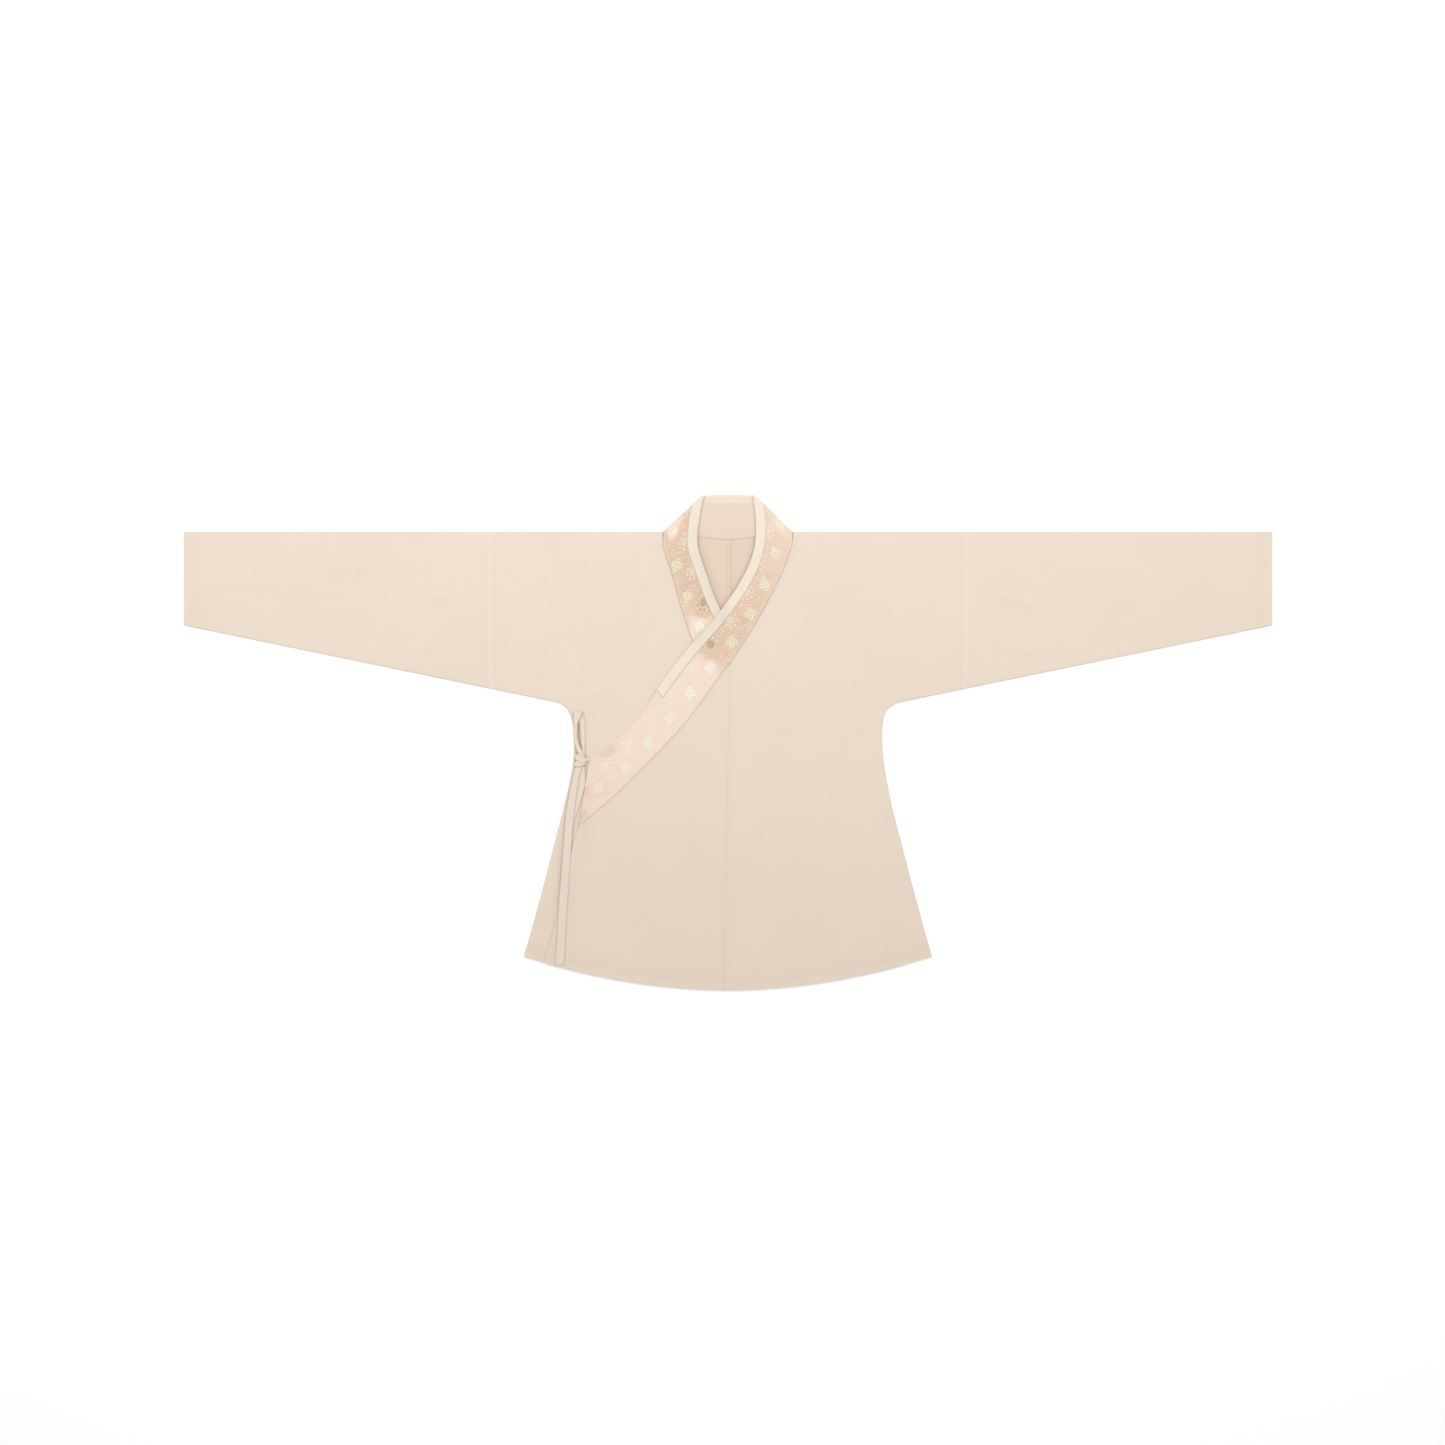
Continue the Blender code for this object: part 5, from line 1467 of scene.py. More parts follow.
class Tree:
    """A node tree that is written as formulas, with short names for the Math node's usual operations.

    A Mix node has other inputs between its share and its colours, which are skipped, and other outputs
    before its colour.
    """

    skipped: tuple = (None,) * 5
    colour: int = 2

    def __init__(self, tree: bpy.types.NodeTree) -> None:
        """Starts on an existing tree."""
        self.tree = tree

    def put(self, socket: Socket, value: object) -> None:
        """Links a socket to another one, or sets its value, a colour's from its three parts.

        Args:
            socket: The input.
            value: Another socket or a value, or none to leave it as it is.
        """
        if isinstance(value, bpy.types.NodeSocket):
            self.tree.links.new(value, socket)
        elif value is not None:
            socket.default_value = (*value, 1.0) if socket.type == "RGBA" else value

    def node(self, kind: str, *values: object, **settings: object) -> bpy.types.Node:
        """A new node.

        Args:
            kind: Its type, without the words that every shader node's type starts with.
            *values: Its inputs, in order.
            **settings: Its own settings.

        Returns:
            The node.
        """
        made = self.tree.nodes.new("ShaderNode" + kind)
        for key, setting in settings.items():
            setattr(made, key, setting)
        for socket, value in zip(made.inputs, values):
            self.put(socket, value)
        return made

    def feed(self, made: bpy.types.Node, **values: object) -> Sequence[Socket]:
        """Gives a node its inputs by their names.

        Args:
            made: The node.
            **values: The inputs.

        Returns:
            Its outputs.
        """
        for key, value in values.items():
            self.put(made.inputs[key.capitalize()], value)
        return made.outputs

    def math(self, operation: str, *values: object, clamp: bool = False) -> Socket:
        """A Math node's result."""
        return self.node("Math", *values, operation=operation, use_clamp=clamp).outputs[0]

    plus, less = partialmethod(math, "ADD"), partialmethod(math, "SUBTRACT")
    times, over = partialmethod(math, "MULTIPLY"), partialmethod(math, "DIVIDE")
    fused, most = partialmethod(math, "MULTIPLY_ADD"), partialmethod(math, "MAXIMUM")
    sine, absolute = partialmethod(math, "SINE"), partialmethod(math, "ABSOLUTE")
    power, wrap = partialmethod(math, "EXPONENT"), partialmethod(math, "WRAP")

    def bell(self, value: Socket) -> Socket:
        """Bell curve: 1 over e to the power of the value's square."""
        return self.power(self.times(self.times(value, value), -1))

    def vector(self, operation: str, *values: object) -> Socket:
        """A Vector Math node's vector."""
        return self.node("VectorMath", *values, operation=operation).outputs[0]

    def split(self, vector: Socket) -> Sequence[Socket]:
        """The three parts of a vector."""
        return self.node("SeparateXYZ", vector).outputs

    def join(self, x: Socket, y: Socket) -> Socket:
        """A vector in the plane."""
        return self.node("CombineXYZ", x, y).outputs[0]

    def step(self, value: object, low: float, high: float, start: float = 0, end: float = 1) -> Socket:
        """A smooth step between two results, as the value goes from a low to a high limit."""
        made = self.node("MapRange", value, low, high, start, end, interpolation_type="SMOOTHSTEP")
        return made.outputs[0]

    def blend(self, share: object, first: object, second: object, kind: str = "MIX") -> Socket:
        """A blend of two colours, by the share of the second one."""
        made = self.node("Mix", share, *self.skipped, first, second, data_type="RGBA", blend_type=kind)
        return made.outputs[self.colour]

    def noise(self, place: Socket, scale: float, detail: float = 2, rough: float = 0.5) -> Socket:
        """Noise from 0 to 1, so many bumps to the metre, with so many finer layers of a certain strength."""
        made = self.node("TexNoise", noise_dimensions="3D")
        return self.feed(made, vector=place, scale=scale, detail=detail, roughness=rough)[0]

    def grain(self, place: Socket, scales: Triple, detail: float = 1) -> Socket:
        """Noise drawn out into a grain by its own scale along each axis."""
        return self.noise(self.vector("MULTIPLY", place, scales), 1, detail)

    def use(self, group: bpy.types.NodeTree, **values: object) -> dict[str, Socket]:
        """Results of a node that stands for a group, by their names, from its inputs by theirs."""
        return dict(self.feed(self.node("Group", node_tree=group), **values).items())


class Groups:
    """Node groups that several finishes share.

    The flower's petals, eyes and dots each lie so far out and fade between two distances from there, in
    radii; its heart, its outline and the gaps between its petals fade between two distances.
    """

    ridge_width: float = 0.8 * MM
    slub_scales: Triple = (16.0, 1100.0, 40.0)
    slub_height: float = 1.2
    cross_height: float = 0.6
    mottle_scale: float = 6.0
    petal: Triple = (0.56, 0.5, 0.38)
    eye: Triple = (0.62, 0.2, 0.1)
    dot: Triple = (0.95, 0.18, 0.1)
    heart: Pair = (0.14, 0.06)
    outline: Pair = (0.62, 0.5)
    gap: Pair = (0.02, 0.09)
    heart_share: float = 0.7

    def __init__(self) -> None:
        """Builds each group once."""
        self.weave = self.make_weave()
        self.seam = self.make_seam()
        self.flower = self.make_flower()

    @staticmethod
    def new(name: str, inputs: dict[str, float | None], outputs: Sequence[str]) -> tuple[Tree, list, object]:
        """An empty group.

        Args:
            name: Name of the group.
            inputs: Names of the inputs, with a number's default value, or with none for a vector.
            outputs: Names of the outputs, all numbers.

        Returns:
            Its tree, its inputs inside and the node of its outputs.
        """
        group = bpy.data.node_groups.new(name, "ShaderNodeTree")
        for key, value in inputs.items():
            kind = "NodeSocketVector" if value is None else "NodeSocketFloat"
            made = group.interface.new_socket(key, in_out="INPUT", socket_type=kind)
            if value is not None:
                made.default_value = value
        for key in outputs:
            group.interface.new_socket(key, in_out="OUTPUT", socket_type="NodeSocketFloat")
        start, end = group.nodes.new("NodeGroupInput"), group.nodes.new("NodeGroupOutput")
        return Tree(group), start.outputs[:len(inputs)], end

    def make_weave(self) -> bpy.types.NodeTree:
        """Plain weave: warp and weft as sines a pitch apart, with thick and thin stretches of thread.

        Returns:
            The group.
        """
        inputs = {"Place": None, "Pitch": 0.8 * MM}
        tree, (place, pitch), end = self.new("weave", inputs, ("Height", "Slub", "Mottle"))
        turns = tree.over(2 * math.pi, pitch)
        x, y, _ = tree.split(place)
        warp, weft = (tree.sine(tree.times(way, turns)) for way in (x, y))
        cross = tree.fused(tree.times(warp, weft), 0.5, 0.5)
        along, short, deep = self.slub_scales
        slub = tree.plus(tree.grain(place, (along, short, deep)), tree.grain(place, (short, along, deep)))
        slub = tree.times(slub, 0.5)
        height = tree.fused(slub, self.slub_height, tree.times(cross, self.cross_height))
        tree.feed(end, height=height, slub=slub, mottle=tree.noise(place, self.mottle_scale))
        return tree.tree

    def make_seam(self) -> bpy.types.NodeTree:
        """A sewn edge: a dark line at distance 0, soft shade beside it, and the allowance under the cloth.

        Returns:
            The group.
        """
        inputs = {"Distance": FAR, "Line": 0.9 * MM, "Soft": 6 * MM, "Allowance": 7.5 * MM}
        tree, given, end = self.new("seam", inputs, ("Line", "Shade", "Height", "Ridge"))
        distance, width, soft, allowance = given
        line = tree.bell(tree.over(distance, width))
        shade = tree.power(tree.times(tree.absolute(tree.over(distance, soft)), -1))
        ridge = tree.bell(tree.over(tree.less(distance, allowance), self.ridge_width))
        tree.feed(end, line=line, shade=shade, height=tree.less(1, line), ridge=ridge)
        return tree.tree

    def make_flower(self) -> bpy.types.NodeTree:
        """A round flower: petals with dark eyes round a small heart, and a ring of dots further out.

        The angle is folded into one petal's share of the turn. A petal is an ellipse three fifths of the
        radius out, and a dot lies between two petals, a radius out.

        Returns:
            The group.
        """
        inputs = {
            "Across": 0, "Along": 0, "Radius": 9 * MM, "Petals": 8, "Squeeze": 2, "Eye": 0.3, "Joined": 0.3,
        }
        tree, given, end = self.new("flower", inputs, ("Petals", "Dots", "Outline"))
        across, along, radius, petals, squeeze, eye, joined = given
        length = tree.node("VectorMath", tree.join(across, along), operation="LENGTH").outputs["Value"]
        far = tree.over(length, radius)
        angle, half = tree.math("ARCTAN2", across, along), tree.over(math.pi, petals)
        back = tree.times(half, -1)
        fold = tree.wrap(tree.plus(angle, half), half, back)
        out = self.away(tree, far, fold, self.petal[0], squeeze)
        core = tree.step(self.away(tree, far, fold, self.eye[0], 1), *self.eye[1:])
        beside = tree.sine(tree.less(half, tree.absolute(fold)))
        gap = tree.step(tree.times(far, beside), *self.gap)
        petal = tree.times(tree.step(out, *self.petal[1:]), tree.most(gap, joined))
        petal = tree.plus(petal, tree.times(core, tree.times(eye, -1)))
        between = tree.wrap(angle, half, back)
        dot = tree.step(self.away(tree, far, between, self.dot[0], 1), *self.dot[1:])
        petal = tree.most(petal, tree.times(tree.step(far, *self.heart), self.heart_share))
        tree.feed(end, petals=petal, dots=dot, outline=tree.step(out, *self.outline))
        return tree.tree

    @staticmethod
    def away(tree: Tree, far: Socket, angle: Socket, centre: float, squeeze: object) -> Socket:
        """Distance to a point on the ray at angle 0, its part across the ray times a squeeze.

        Args:
            tree: The tree to write it in.
            far: Distance from the flower's middle, in radii.
            angle: Angle from the ray.
            centre: How far out the point lies.
            squeeze: The squeeze.

        Returns:
            The distance, in radii.
        """
        out = tree.less(tree.times(far, tree.math("COSINE", angle)), centre)
        side = tree.times(tree.times(far, tree.sine(angle)), squeeze)
        return tree.math("SQRT", tree.plus(tree.times(out, out), tree.times(side, side)))


class Finish(Tree):
    """Start of a material: its tree, its shader and the coordinates that the finishes read."""

    def __init__(self, name: str, roughness: float, sheen: float) -> None:
        """Makes the material, with its constant values on the shader itself.

        Args:
            name: Name of the material.
            roughness: The shader's roughness.
            sheen: Weight of its sheen.
        """
        self.material = bpy.data.materials.new(name)
        self.material.use_nodes = True
        super().__init__(self.material.node_tree)
        self.shader = self.tree.nodes["Principled BSDF"]
        self.set("Roughness", roughness)
        self.set("Sheen Weight", sheen)
        self.set("Sheen Roughness", 0.5)
        self.set("Specular IOR Level", 0.25)

    def set(self, name: str, value: object) -> None:
        """Links or sets one of the shader's inputs."""
        self.put(self.shader.inputs[name], value)

    def place(self) -> Socket:
        """Object coordinates."""
        return self.node("TexCoord").outputs["Object"]

    def mark(self, name: str) -> Socket:
        """An attribute of the mesh."""
        return self.node("Attribute", attribute_name=name).outputs["Fac"]

    def cloth(self) -> Socket:
        """Coordinates on the cloth."""
        return self.node("UVMap", uv_map="cloth").outputs["UV"]

    def bump(self, height: Socket, depth: float, under: Socket | None = None) -> Socket:
        """Normal of a height from 0 to 1 times a depth in metres, over another normal where one is given."""
        return self.feed(self.node("Bump"), strength=1, distance=depth, height=height, normal=under)[0]


@dataclass(frozen=True)
class PlainWeave:
    """Plain woven cloth, a little warmer low down, with slubs, seam lines and a turned hem.

    Its darker, warmer colour low down is painted light falloff.
    """

    name: str
    # colour is the top's and low the hem's: painted light falloff, darker and warmer toward the hem across
    # fade.
    colour: Triple
    low: Triple
    shade: float = 0.985
    fade: Pair = (-0.38, 0.24)
    slub: Pair = (0.982, 1.012)
    slub_range: Pair = (0.3, 0.72)
    mottle_range: Pair = (0.3, 0.7)
    pitch: float = 0.8 * MM
    weave_depth: float = 0.07 * MM
    seam_dark: float = 0.05
    seam_shade: float = 0.012
    seam_ridge: float = 0.014
    seam_depth: float = 0.1 * MM
    turned: bool = True
    hem_fold: float = 12.4 * MM
    hem_soft: float = 20.0 * MM
    hem_start: Pair = (0.0, 1.0 * MM)
    hem_end: Pair = (24.0 * MM, 2.0 * MM)
    hem_ridge: float = 0.035
    hem_shade: float = 0.022
    hem_sink: float = 0.3
    # warmth tints the seam lines and the painted shade warmer.
    warmth: Triple = (-0.07, 0.0, 0.08)

    def material(self, groups: Groups) -> bpy.types.Material:
        """Builds the tree.

        Args:
            groups: The shared node groups.

        Returns:
            The material.
        """
        tree = Finish(self.name, roughness=0.86, sheen=0.25)
        place = tree.place()
        weave = tree.use(groups.weave, place=place, pitch=self.pitch)
        seam = tree.use(groups.seam, distance=tree.mark("sewn"))
        # Painted light falloff: from the low colour at the hem to the top colour higher up.
        base = tree.blend(tree.step(tree.split(place)[1], *self.fade), self.low, self.colour)
        thread = tree.step(weave["Slub"], *self.slub_range, *self.slub)
        thread = tree.times(thread, tree.step(weave["Mottle"], *self.mottle_range, self.shade, 1))
        dark = tree.times(seam["Line"], self.seam_dark)
        dark = tree.fused(seam["Shade"], self.seam_shade, dark)
        dark = tree.fused(seam["Ridge"], self.seam_ridge, dark)
        # Painted light and shade from the piece's mark: darker above 0, lighter below.
        dark = tree.plus(dark, tree.mark("painted_shading"))
        height = seam["Height"]
        if self.turned:
            turned = tree.mark("turned")
            hem = tree.use(groups.seam, distance=turned, allowance=self.hem_fold, soft=self.hem_soft)
            dark = tree.fused(hem["Ridge"], self.hem_ridge, dark)
            above = tree.less(turned, self.hem_fold)
            soft = tree.times(tree.step(above, *self.hem_start), tree.step(above, *self.hem_end))
            dark = tree.fused(soft, self.hem_shade, dark)
            height = tree.less(height, tree.times(hem["Ridge"], self.hem_sink))
        keep = tree.less(thread, dark)
        shade = tree.node("CombineColor", *(tree.fused(dark, -share, keep) for share in self.warmth))
        tree.set("Base Color", tree.blend(1, base, shade.outputs[0], "MULTIPLY"))
        fine = tree.bump(weave["Height"], self.weave_depth)
        tree.set("Normal", tree.bump(height, self.seam_depth, fine))
        return tree.material


@dataclass(frozen=True)
class BrocadeFinish:
    """Satin with a fine scroll, and two ordinary round flowers in staggered rows.

    The satin and its metal thread each have three looks: toward the light, between, and from it.
    """

    repeat: float = 54.2 * MM
    row_gap: float = 24.0 * MM
    rosette_row: float = 48.0 * MM
    outer_start: float = 245.1 * MM
    inner_start: float = -259.6 * MM
    rosette: float = 10.8 * MM
    large: float = 7.4 * MM
    dots: float = 12.4 * MM
    sprig: float = 5.2 * MM
    large_share: float = 0.95
    large_outline: float = 0.5
    sprig_share: float = 0.3
    scroll: float = 150.0
    winding: float = 11.5
    scroll_edge: Pair = (-0.3, 0.6)
    scroll_height: float = 0.3
    clouds: Triple = (60.0, 2.0, 0.6)
    # Strength of the random clouds in the painted satin shading.
    cloud_shading: float = 0.5
    cloud_thread: float = 1.6
    thread_share: float = 0.06
    deepest: float = 0.76
    rebound: float = 0.3
    metal_dark: float = 0.82
    scroll_share: tuple = (-0.2, 0.7, 0.35, 0.95)
    light_shine: tuple = (0.1, -0.3, 0.66, 0.98)
    dark_shine: tuple = (0.75, 1.0, 0.0, 0.95)
    outline_share: float = 0.6
    seam_line: float = 1.2 * MM
    seam_dark: float = 0.4
    edge_line: float = 0.7 * MM
    edge_fold: float = 2.0 * MM
    edge_dark: float = 0.14
    edge_shade: float = 0.05
    rim_start: Pair = (1.2 * MM, 2.2 * MM)
    rim_end: Pair = (5.0 * MM, 3.0 * MM)
    rim_light: float = 0.3
    roughness: float = 0.55
    smoother: float = -0.12
    flower_depth: float = 0.15 * MM
    grain: Triple = (300.0, 2600.0, 1.0)
    grain_depth: float = 0.05 * MM
    satin: tuple = ((0.79, 0.605, 0.495), (0.62, 0.435, 0.325), (0.55, 0.385, 0.29))
    thread: tuple = ((0.755, 0.685, 0.565), (0.725, 0.56, 0.43), (0.64, 0.505, 0.38))
    metal: tuple = ((0.82, 0.775, 0.665), (0.80, 0.77, 0.585), (0.35, 0.27, 0.15))
    outline: tuple = ((0.66, 0.585, 0.475), (0.56, 0.44, 0.325), (0.45, 0.34, 0.24))
    edge: Triple = (0.42, 0.27, 0.19)

    @staticmethod
    def turn(tree: Tree, painted_shading: Socket, looks: tuple, dark: float = 0.5) -> Socket:
        """Lit, middle and shaded looks of a colour by painted shading from 0 to 1, the last from a share on.
        """
        first = tree.blend(tree.step(painted_shading, 0, 0.5), *looks[:2])
        return tree.blend(tree.step(painted_shading, dark, 1), first, looks[2])

    def flowers(self, tree: Tree, groups: Groups, along: Socket, across: Socket) -> tuple[Socket, Socket]:
        """Masks of every flower and of their outlines: rosettes in one row, large dotted ones in the next.

        Args:
            tree: The tree to write them in.
            groups: The shared node groups.
            along: Place along the cloth.
            across: Place across it.

        Returns:
            Both masks.
        """
        inner = tree.math("LESS_THAN", along, 0)
        start = tree.fused(inner, self.inner_start - self.outer_start, self.outer_start)
        from_start, half = tree.less(along, start), self.repeat / 2
        on = tree.wrap(from_start, half, -half)
        off = tree.wrap(tree.plus(from_start, half), half, -half)
        row = tree.less(across, self.rosette_row)
        other = tree.less(across, self.rosette_row - self.row_gap)
        rosette = tree.use(
            groups.flower, radius=self.rosette, petals=4, squeeze=0.98, eye=1, along=on, across=row
        )
        large = tree.use(groups.flower, radius=self.large, petals=8, along=off, across=other)
        dots = tree.use(groups.flower, radius=self.dots, petals=9, along=off, across=other)
        sprigs = [
            tree.use(groups.flower, radius=self.sprig, petals=3, along=a, across=b)["Petals"]
            for a, b in ((off, row), (on, other))
        ]
        main = tree.times(tree.most(large["Petals"], dots["Dots"]), self.large_share)
        main = tree.most(rosette["Petals"], main)
        outline = tree.most(rosette["Outline"], tree.times(large["Outline"], self.large_outline))
        return tree.most(main, tree.times(tree.most(*sprigs), self.sprig_share)), outline

    def scrolls(self, tree: Tree, place: Socket) -> Socket:
        """Mask of a fine scroll: a spiral in each cell of a scatter, by angle and distance to its middle.

        Args:
            tree: The tree to write it in.
            place: Place on the cloth.

        Returns:
            The mask.
        """
        cells = tree.feed(tree.node("TexVoronoi", feature="F1"), vector=place, scale=self.scroll)
        x, y, _ = tree.split(tree.vector("SUBTRACT", place, cells["Position"]))
        winding = tree.fused(cells["Distance"], self.winding, tree.math("ARCTAN2", y, x))
        return tree.step(tree.sine(winding), *self.scroll_edge)

    def material(self, groups: Groups) -> bpy.types.Material:
        """Builds the tree.

        Args:
            groups: The shared node groups.

        Returns:
            The material.
        """
        tree = Finish("brocade", roughness=0.5, sheen=0.15)
        along, across, _ = tree.split(tree.cloth())
        place = tree.join(along, across)
        flowers, outline = self.flowers(tree, groups, along, across)
        scroll = self.scrolls(tree, place)
        cloudy = tree.less(tree.noise(place, *self.clouds), 0.5)
        # Painted light and shade of the satin, with random clouds in it, picks each colour's lit, middle or
        # shaded look.
        painted_shading = tree.fused(cloudy, self.cloud_shading, tree.mark("painted_shading"))
        share = tree.fused(scroll, tree.step(painted_shading, *self.scroll_share), self.thread_share)
        share = tree.fused(cloudy, self.cloud_thread, share, clamp=True)
        back = tree.fused(painted_shading, -self.rebound, (1 + self.rebound) * self.deepest)
        deep = tree.math("MINIMUM", painted_shading, back)
        looks = self.satin, self.thread, self.outline
        satin, thread, rest = (self.turn(tree, deep, look) for look in looks)
        ground = tree.blend(tree.times(outline, self.outline_share), tree.blend(share, satin, thread), rest)
        shine = tree.most(tree.step(painted_shading, *self.light_shine), tree.step(painted_shading, *self.dark_shine))
        flowers = tree.times(flowers, shine)
        colour = tree.blend(flowers, ground, self.turn(tree, painted_shading, self.metal, self.metal_dark))
        sewn = tree.mark("sewn")
        seam = tree.use(groups.seam, distance=sewn, line=self.seam_line)
        turned = tree.mark("turned")
        edge = tree.use(groups.seam, distance=turned, line=self.edge_line, allowance=self.edge_fold)
        # The seam's dark line, with painted shade along the folded edge and beside the guard's edge.
        dark = tree.fused(seam["Line"], self.seam_dark, tree.times(edge["Line"], self.edge_dark))
        colour = tree.blend(tree.fused(edge["Shade"], self.edge_shade, dark), colour, self.edge)
        rim = tree.times(tree.step(sewn, *self.rim_start), tree.step(sewn, *self.rim_end))
        tree.set("Base Color", tree.blend(tree.times(rim, self.rim_light), colour, self.thread[0]))
        tree.set("Roughness", tree.fused(flowers, self.smoother, self.roughness))
        raised = tree.fused(scroll, self.scroll_height, flowers)
        fine = tree.bump(tree.grain(place, self.grain), self.grain_depth)
        tree.set("Normal", tree.bump(raised, self.flower_depth, fine))
        return tree.material


@dataclass(frozen=True)
class GuardFinish:
    """Smooth plain cloth with a faint grain along the strip."""

    colour: Triple = (0.775, 0.685, 0.57)
    shade: Triple = (0.745, 0.65, 0.535)
    edge: Triple = (0.45, 0.385, 0.3)
    edge_dark: float = 0.32
    edge_depth: float = 0.2 * MM
    grain: Triple = (30.0, 900.0, 1.0)
    grain_range: Pair = (0.3, 0.7)
    pitch: float = 0.6 * MM
    weave_depth: float = 0.06 * MM

    def material(self, groups: Groups) -> bpy.types.Material:
        """Builds the tree.

        Args:
            groups: The shared node groups.

        Returns:
            The material.
        """
        tree = Finish("guard_cloth", roughness=0.7, sheen=0.15)
        cloth = tree.cloth()
        weave = tree.use(groups.weave, place=cloth, pitch=self.pitch)
        seam = tree.use(groups.seam, distance=tree.mark("sewn"))
        grain = tree.step(tree.grain(cloth, self.grain, 2), *self.grain_range)
        colour = tree.blend(grain, self.shade, self.colour)
        # The dark line at the sewn edge, plus painted shade from the strip's mark.
        dark = tree.fused(seam["Line"], self.edge_dark, tree.mark("painted_shading"))
        tree.set("Base Color", tree.blend(dark, colour, self.edge))
        fine = tree.bump(weave["Height"], self.weave_depth)
        tree.set("Normal", tree.bump(seam["Height"], self.edge_depth, fine))
        return tree.material


@dataclass(frozen=True)
class ThreadFinish:
    """Sewing thread: twisted, a little lighter than the cloth."""

    colour: Triple = (0.79, 0.675, 0.57)
    dark: float = 0.86
    twists: float = 1800.0
    depth: float = 0.1 * MM

    def material(self) -> bpy.types.Material:
        """Builds the tree.

        Returns:
            The material.
        """
        tree = Finish("thread", roughness=0.7, sheen=0.1)
        twist = tree.noise(tree.place(), self.twists, 1)
        dark = [self.dark * part for part in self.colour]
        tree.set("Base Color", tree.blend(twist, dark, self.colour))
        tree.set("Normal", tree.bump(twist, self.depth))
        return tree.material


@dataclass(frozen=True)
class Studio:
    """Plain pale floor, soft light and a camera straight above, as in the photograph."""

    camera_x: float = -9.2 * MM
    camera_y: float = 32.6 * MM
    frame_width: float = 2.417
    lens: float = 85.0
    sensor: float = 36.0
    world_glow: float = 0.775
    floor_z: float = -0.4 * MM
    floor_half: float = 20.0
    floor_grain: float = 40.0
    floor_glow: float = 0.07
    floor_dark: float = 0.97
    floor_light: float = 0.985

    def floor(self) -> None:
        """The floor: one wide sheet with a fine grain."""
        half = self.floor_half
        corners = [(x * half, y * half, self.floor_z) for x, y in ((-1, -1), (1, -1), (1, 1), (-1, 1))]
        mesh = bpy.data.meshes.new("floor")
        mesh.from_pydata(corners, [], [(0, 1, 2, 3)])
        finish = Finish("floor", roughness=0.9, sheen=0)
        grain = finish.noise(finish.place(), self.floor_grain, 3)
        greys = [self.floor_dark] * 3, [self.floor_light] * 3
        finish.set("Base Color", finish.blend(grain, *greys))
        finish.set("Emission Color", (1, 1, 1))
        finish.set("Emission Strength", self.floor_glow)
        mesh.materials.append(finish.material)
        add("floor", mesh)

    @staticmethod
    def light(name: str, place: Triple, size: float, power: float) -> None:
        """A square soft light aimed at the garment's middle.

        Args:
            name: Its name.
            place: Where it hangs.
            size: Length of its side.
            power: Its power in watts.
        """
        lamp = bpy.data.lights.new(name, "AREA")
        lamp.size = size
        lamp.energy = power
        x, y, z = place
        made = add(name, lamp)
        made.location = place
        made.rotation_euler = (math.atan2(math.hypot(x, y), z), 0, math.atan2(x, -y))

    def build(self) -> None:
        """Sets up floor, lights, world and camera."""
        self.floor()
        self.light("key", place=(-1.1, 1.2, 2.0), size=1.2, power=19.0)
        self.light("fill", place=(1.1, 1.2, 2.0), size=1.2, power=16.5)
        scene = bpy.context.scene
        world = bpy.data.worlds.new("studio")
        world.use_nodes = True
        back = world.node_tree.nodes["Background"]
        back.inputs["Color"].default_value = (1, 1, 1, 1)
        back.inputs["Strength"].default_value = self.world_glow
        scene.world = world
        scene.view_settings.view_transform = "Standard"
        lens = bpy.data.cameras.new("camera")
        lens.lens = self.lens
        lens.sensor_width = self.sensor
        scene.camera = add("camera", lens)
        scene.camera.location = (self.camera_x, self.camera_y, self.frame_width * self.lens / self.sensor)


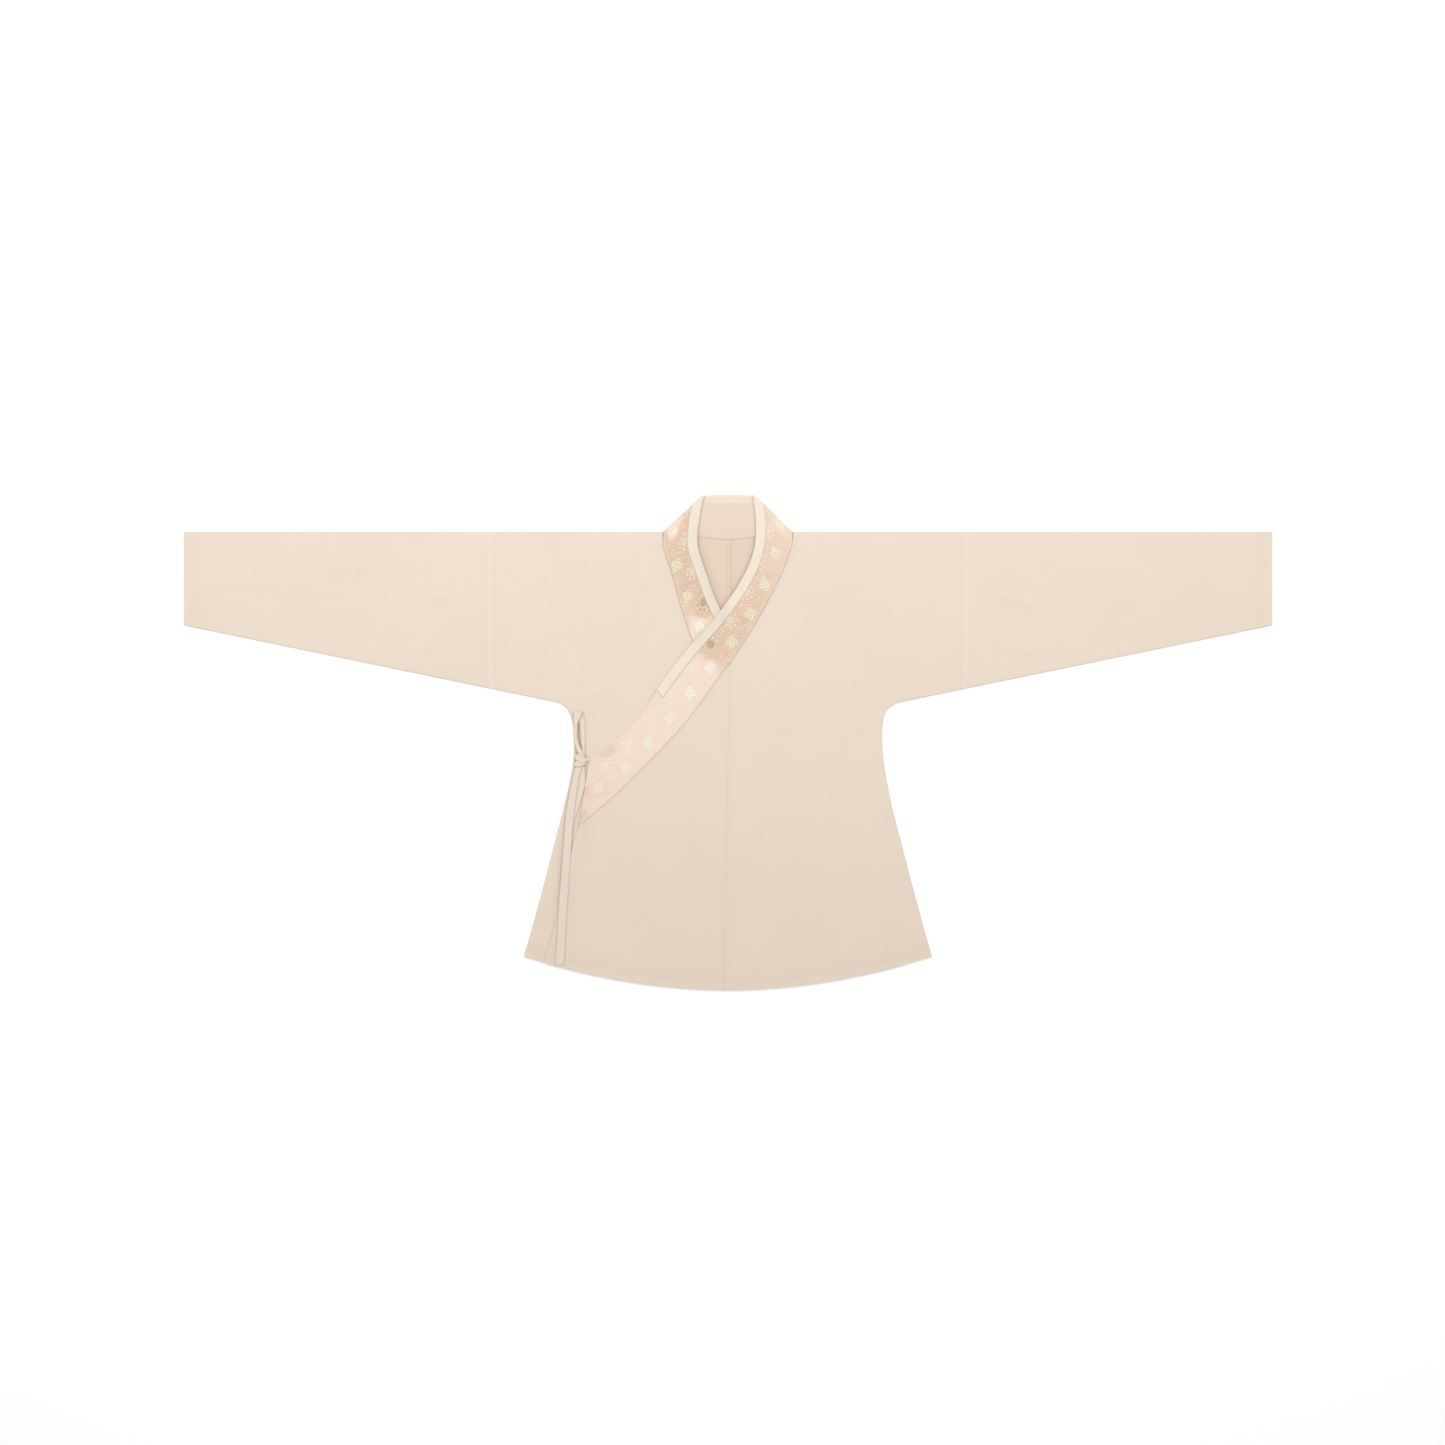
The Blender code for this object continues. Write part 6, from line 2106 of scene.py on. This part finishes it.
def main() -> None:
    """Builds the studio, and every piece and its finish."""
    logging.basicConfig(level=logging.INFO, format="%(message)s")
    Studio().build()
    groups = Groups()
    finishes = (
        # Top colour, then the darker, warmer low colour of the painted light falloff.
        PlainWeave("plain_cloth", (0.722, 0.616, 0.518), (0.712, 0.597, 0.49)),
        # The body's own cloth on its inner faces, darker and warmer as painted shade.
        PlainWeave(
            "shaded_inside_cloth", (0.682, 0.548, 0.438), (0.68, 0.545, 0.435), seam_dark=0.12, turned=False
        ),
        # On the ties sewn is the distance to a ribbon's edge, so seam_dark and seam_shade paint shade along
        # both edges.
        PlainWeave(
            "tie_cloth", (0.742, 0.63, 0.533), (0.73, 0.618, 0.52), seam_dark=0.2, seam_shade=0.03,
            turned=False,
        ),
        PlainWeave("facing_cloth", (0.702, 0.582, 0.474), (0.70, 0.58, 0.47), seam_shade=0.0, turned=False),
        BrocadeFinish(),
        GuardFinish(),
    )
    body, inside, tie, facing, brocade, guard = (finish.material(groups) for finish in finishes)
    cloth = Cloth(Cut())
    band = Band(cloth)
    parts = (
        *((BodyHalf(cloth, side), body, (0.40, 1.535), "folded", ["floor"]) for side in Side),
        *((Sleeve(cloth, side), body, (0.515, 0.54), "folded", ["floor"]) for side in Side),
        (Overlap(cloth, True, 110, 66), body, (0.315, 0.545), "laid", ["right_body_cloth"]),
        (Overlap(cloth, False, 40, 24), body, (0.252, 0.505), "laid", ["left_body_cloth"]),
        (Brocade(band), brocade, (0.090, 1.27), "folded", ["left_body_cloth", "right_body_cloth"]),
        (Guard(band), guard, (0.034, 0.74), "folded", ["collar_brocade"]),
        (Facing(band), facing, (0.128, 0.062), "laid", ["collar_brocade"]),
        (SideTie(cloth), tie, (0.030, 0.63), "folded", ["outer_overlap_cloth", "right_body_cloth"]),
        (BackFell(cloth), inside, (0.0132, 0.745), "folded", ["right_body_cloth"]),
        (CollarTie(cloth), tie, (0.019, 0.10), "folded", ["side_tie_cloth"]),
    )
    for maker, material, flat, held, rests_on in parts:
        piece = maker.piece()
        made = piece.build(material, inside if material is body else None)
        area = min(piece.area, flat[0] * flat[1])
    Stitching(cloth).build(ThreadFinish().material())
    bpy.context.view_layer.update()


if __name__ == "__main__":
    main()
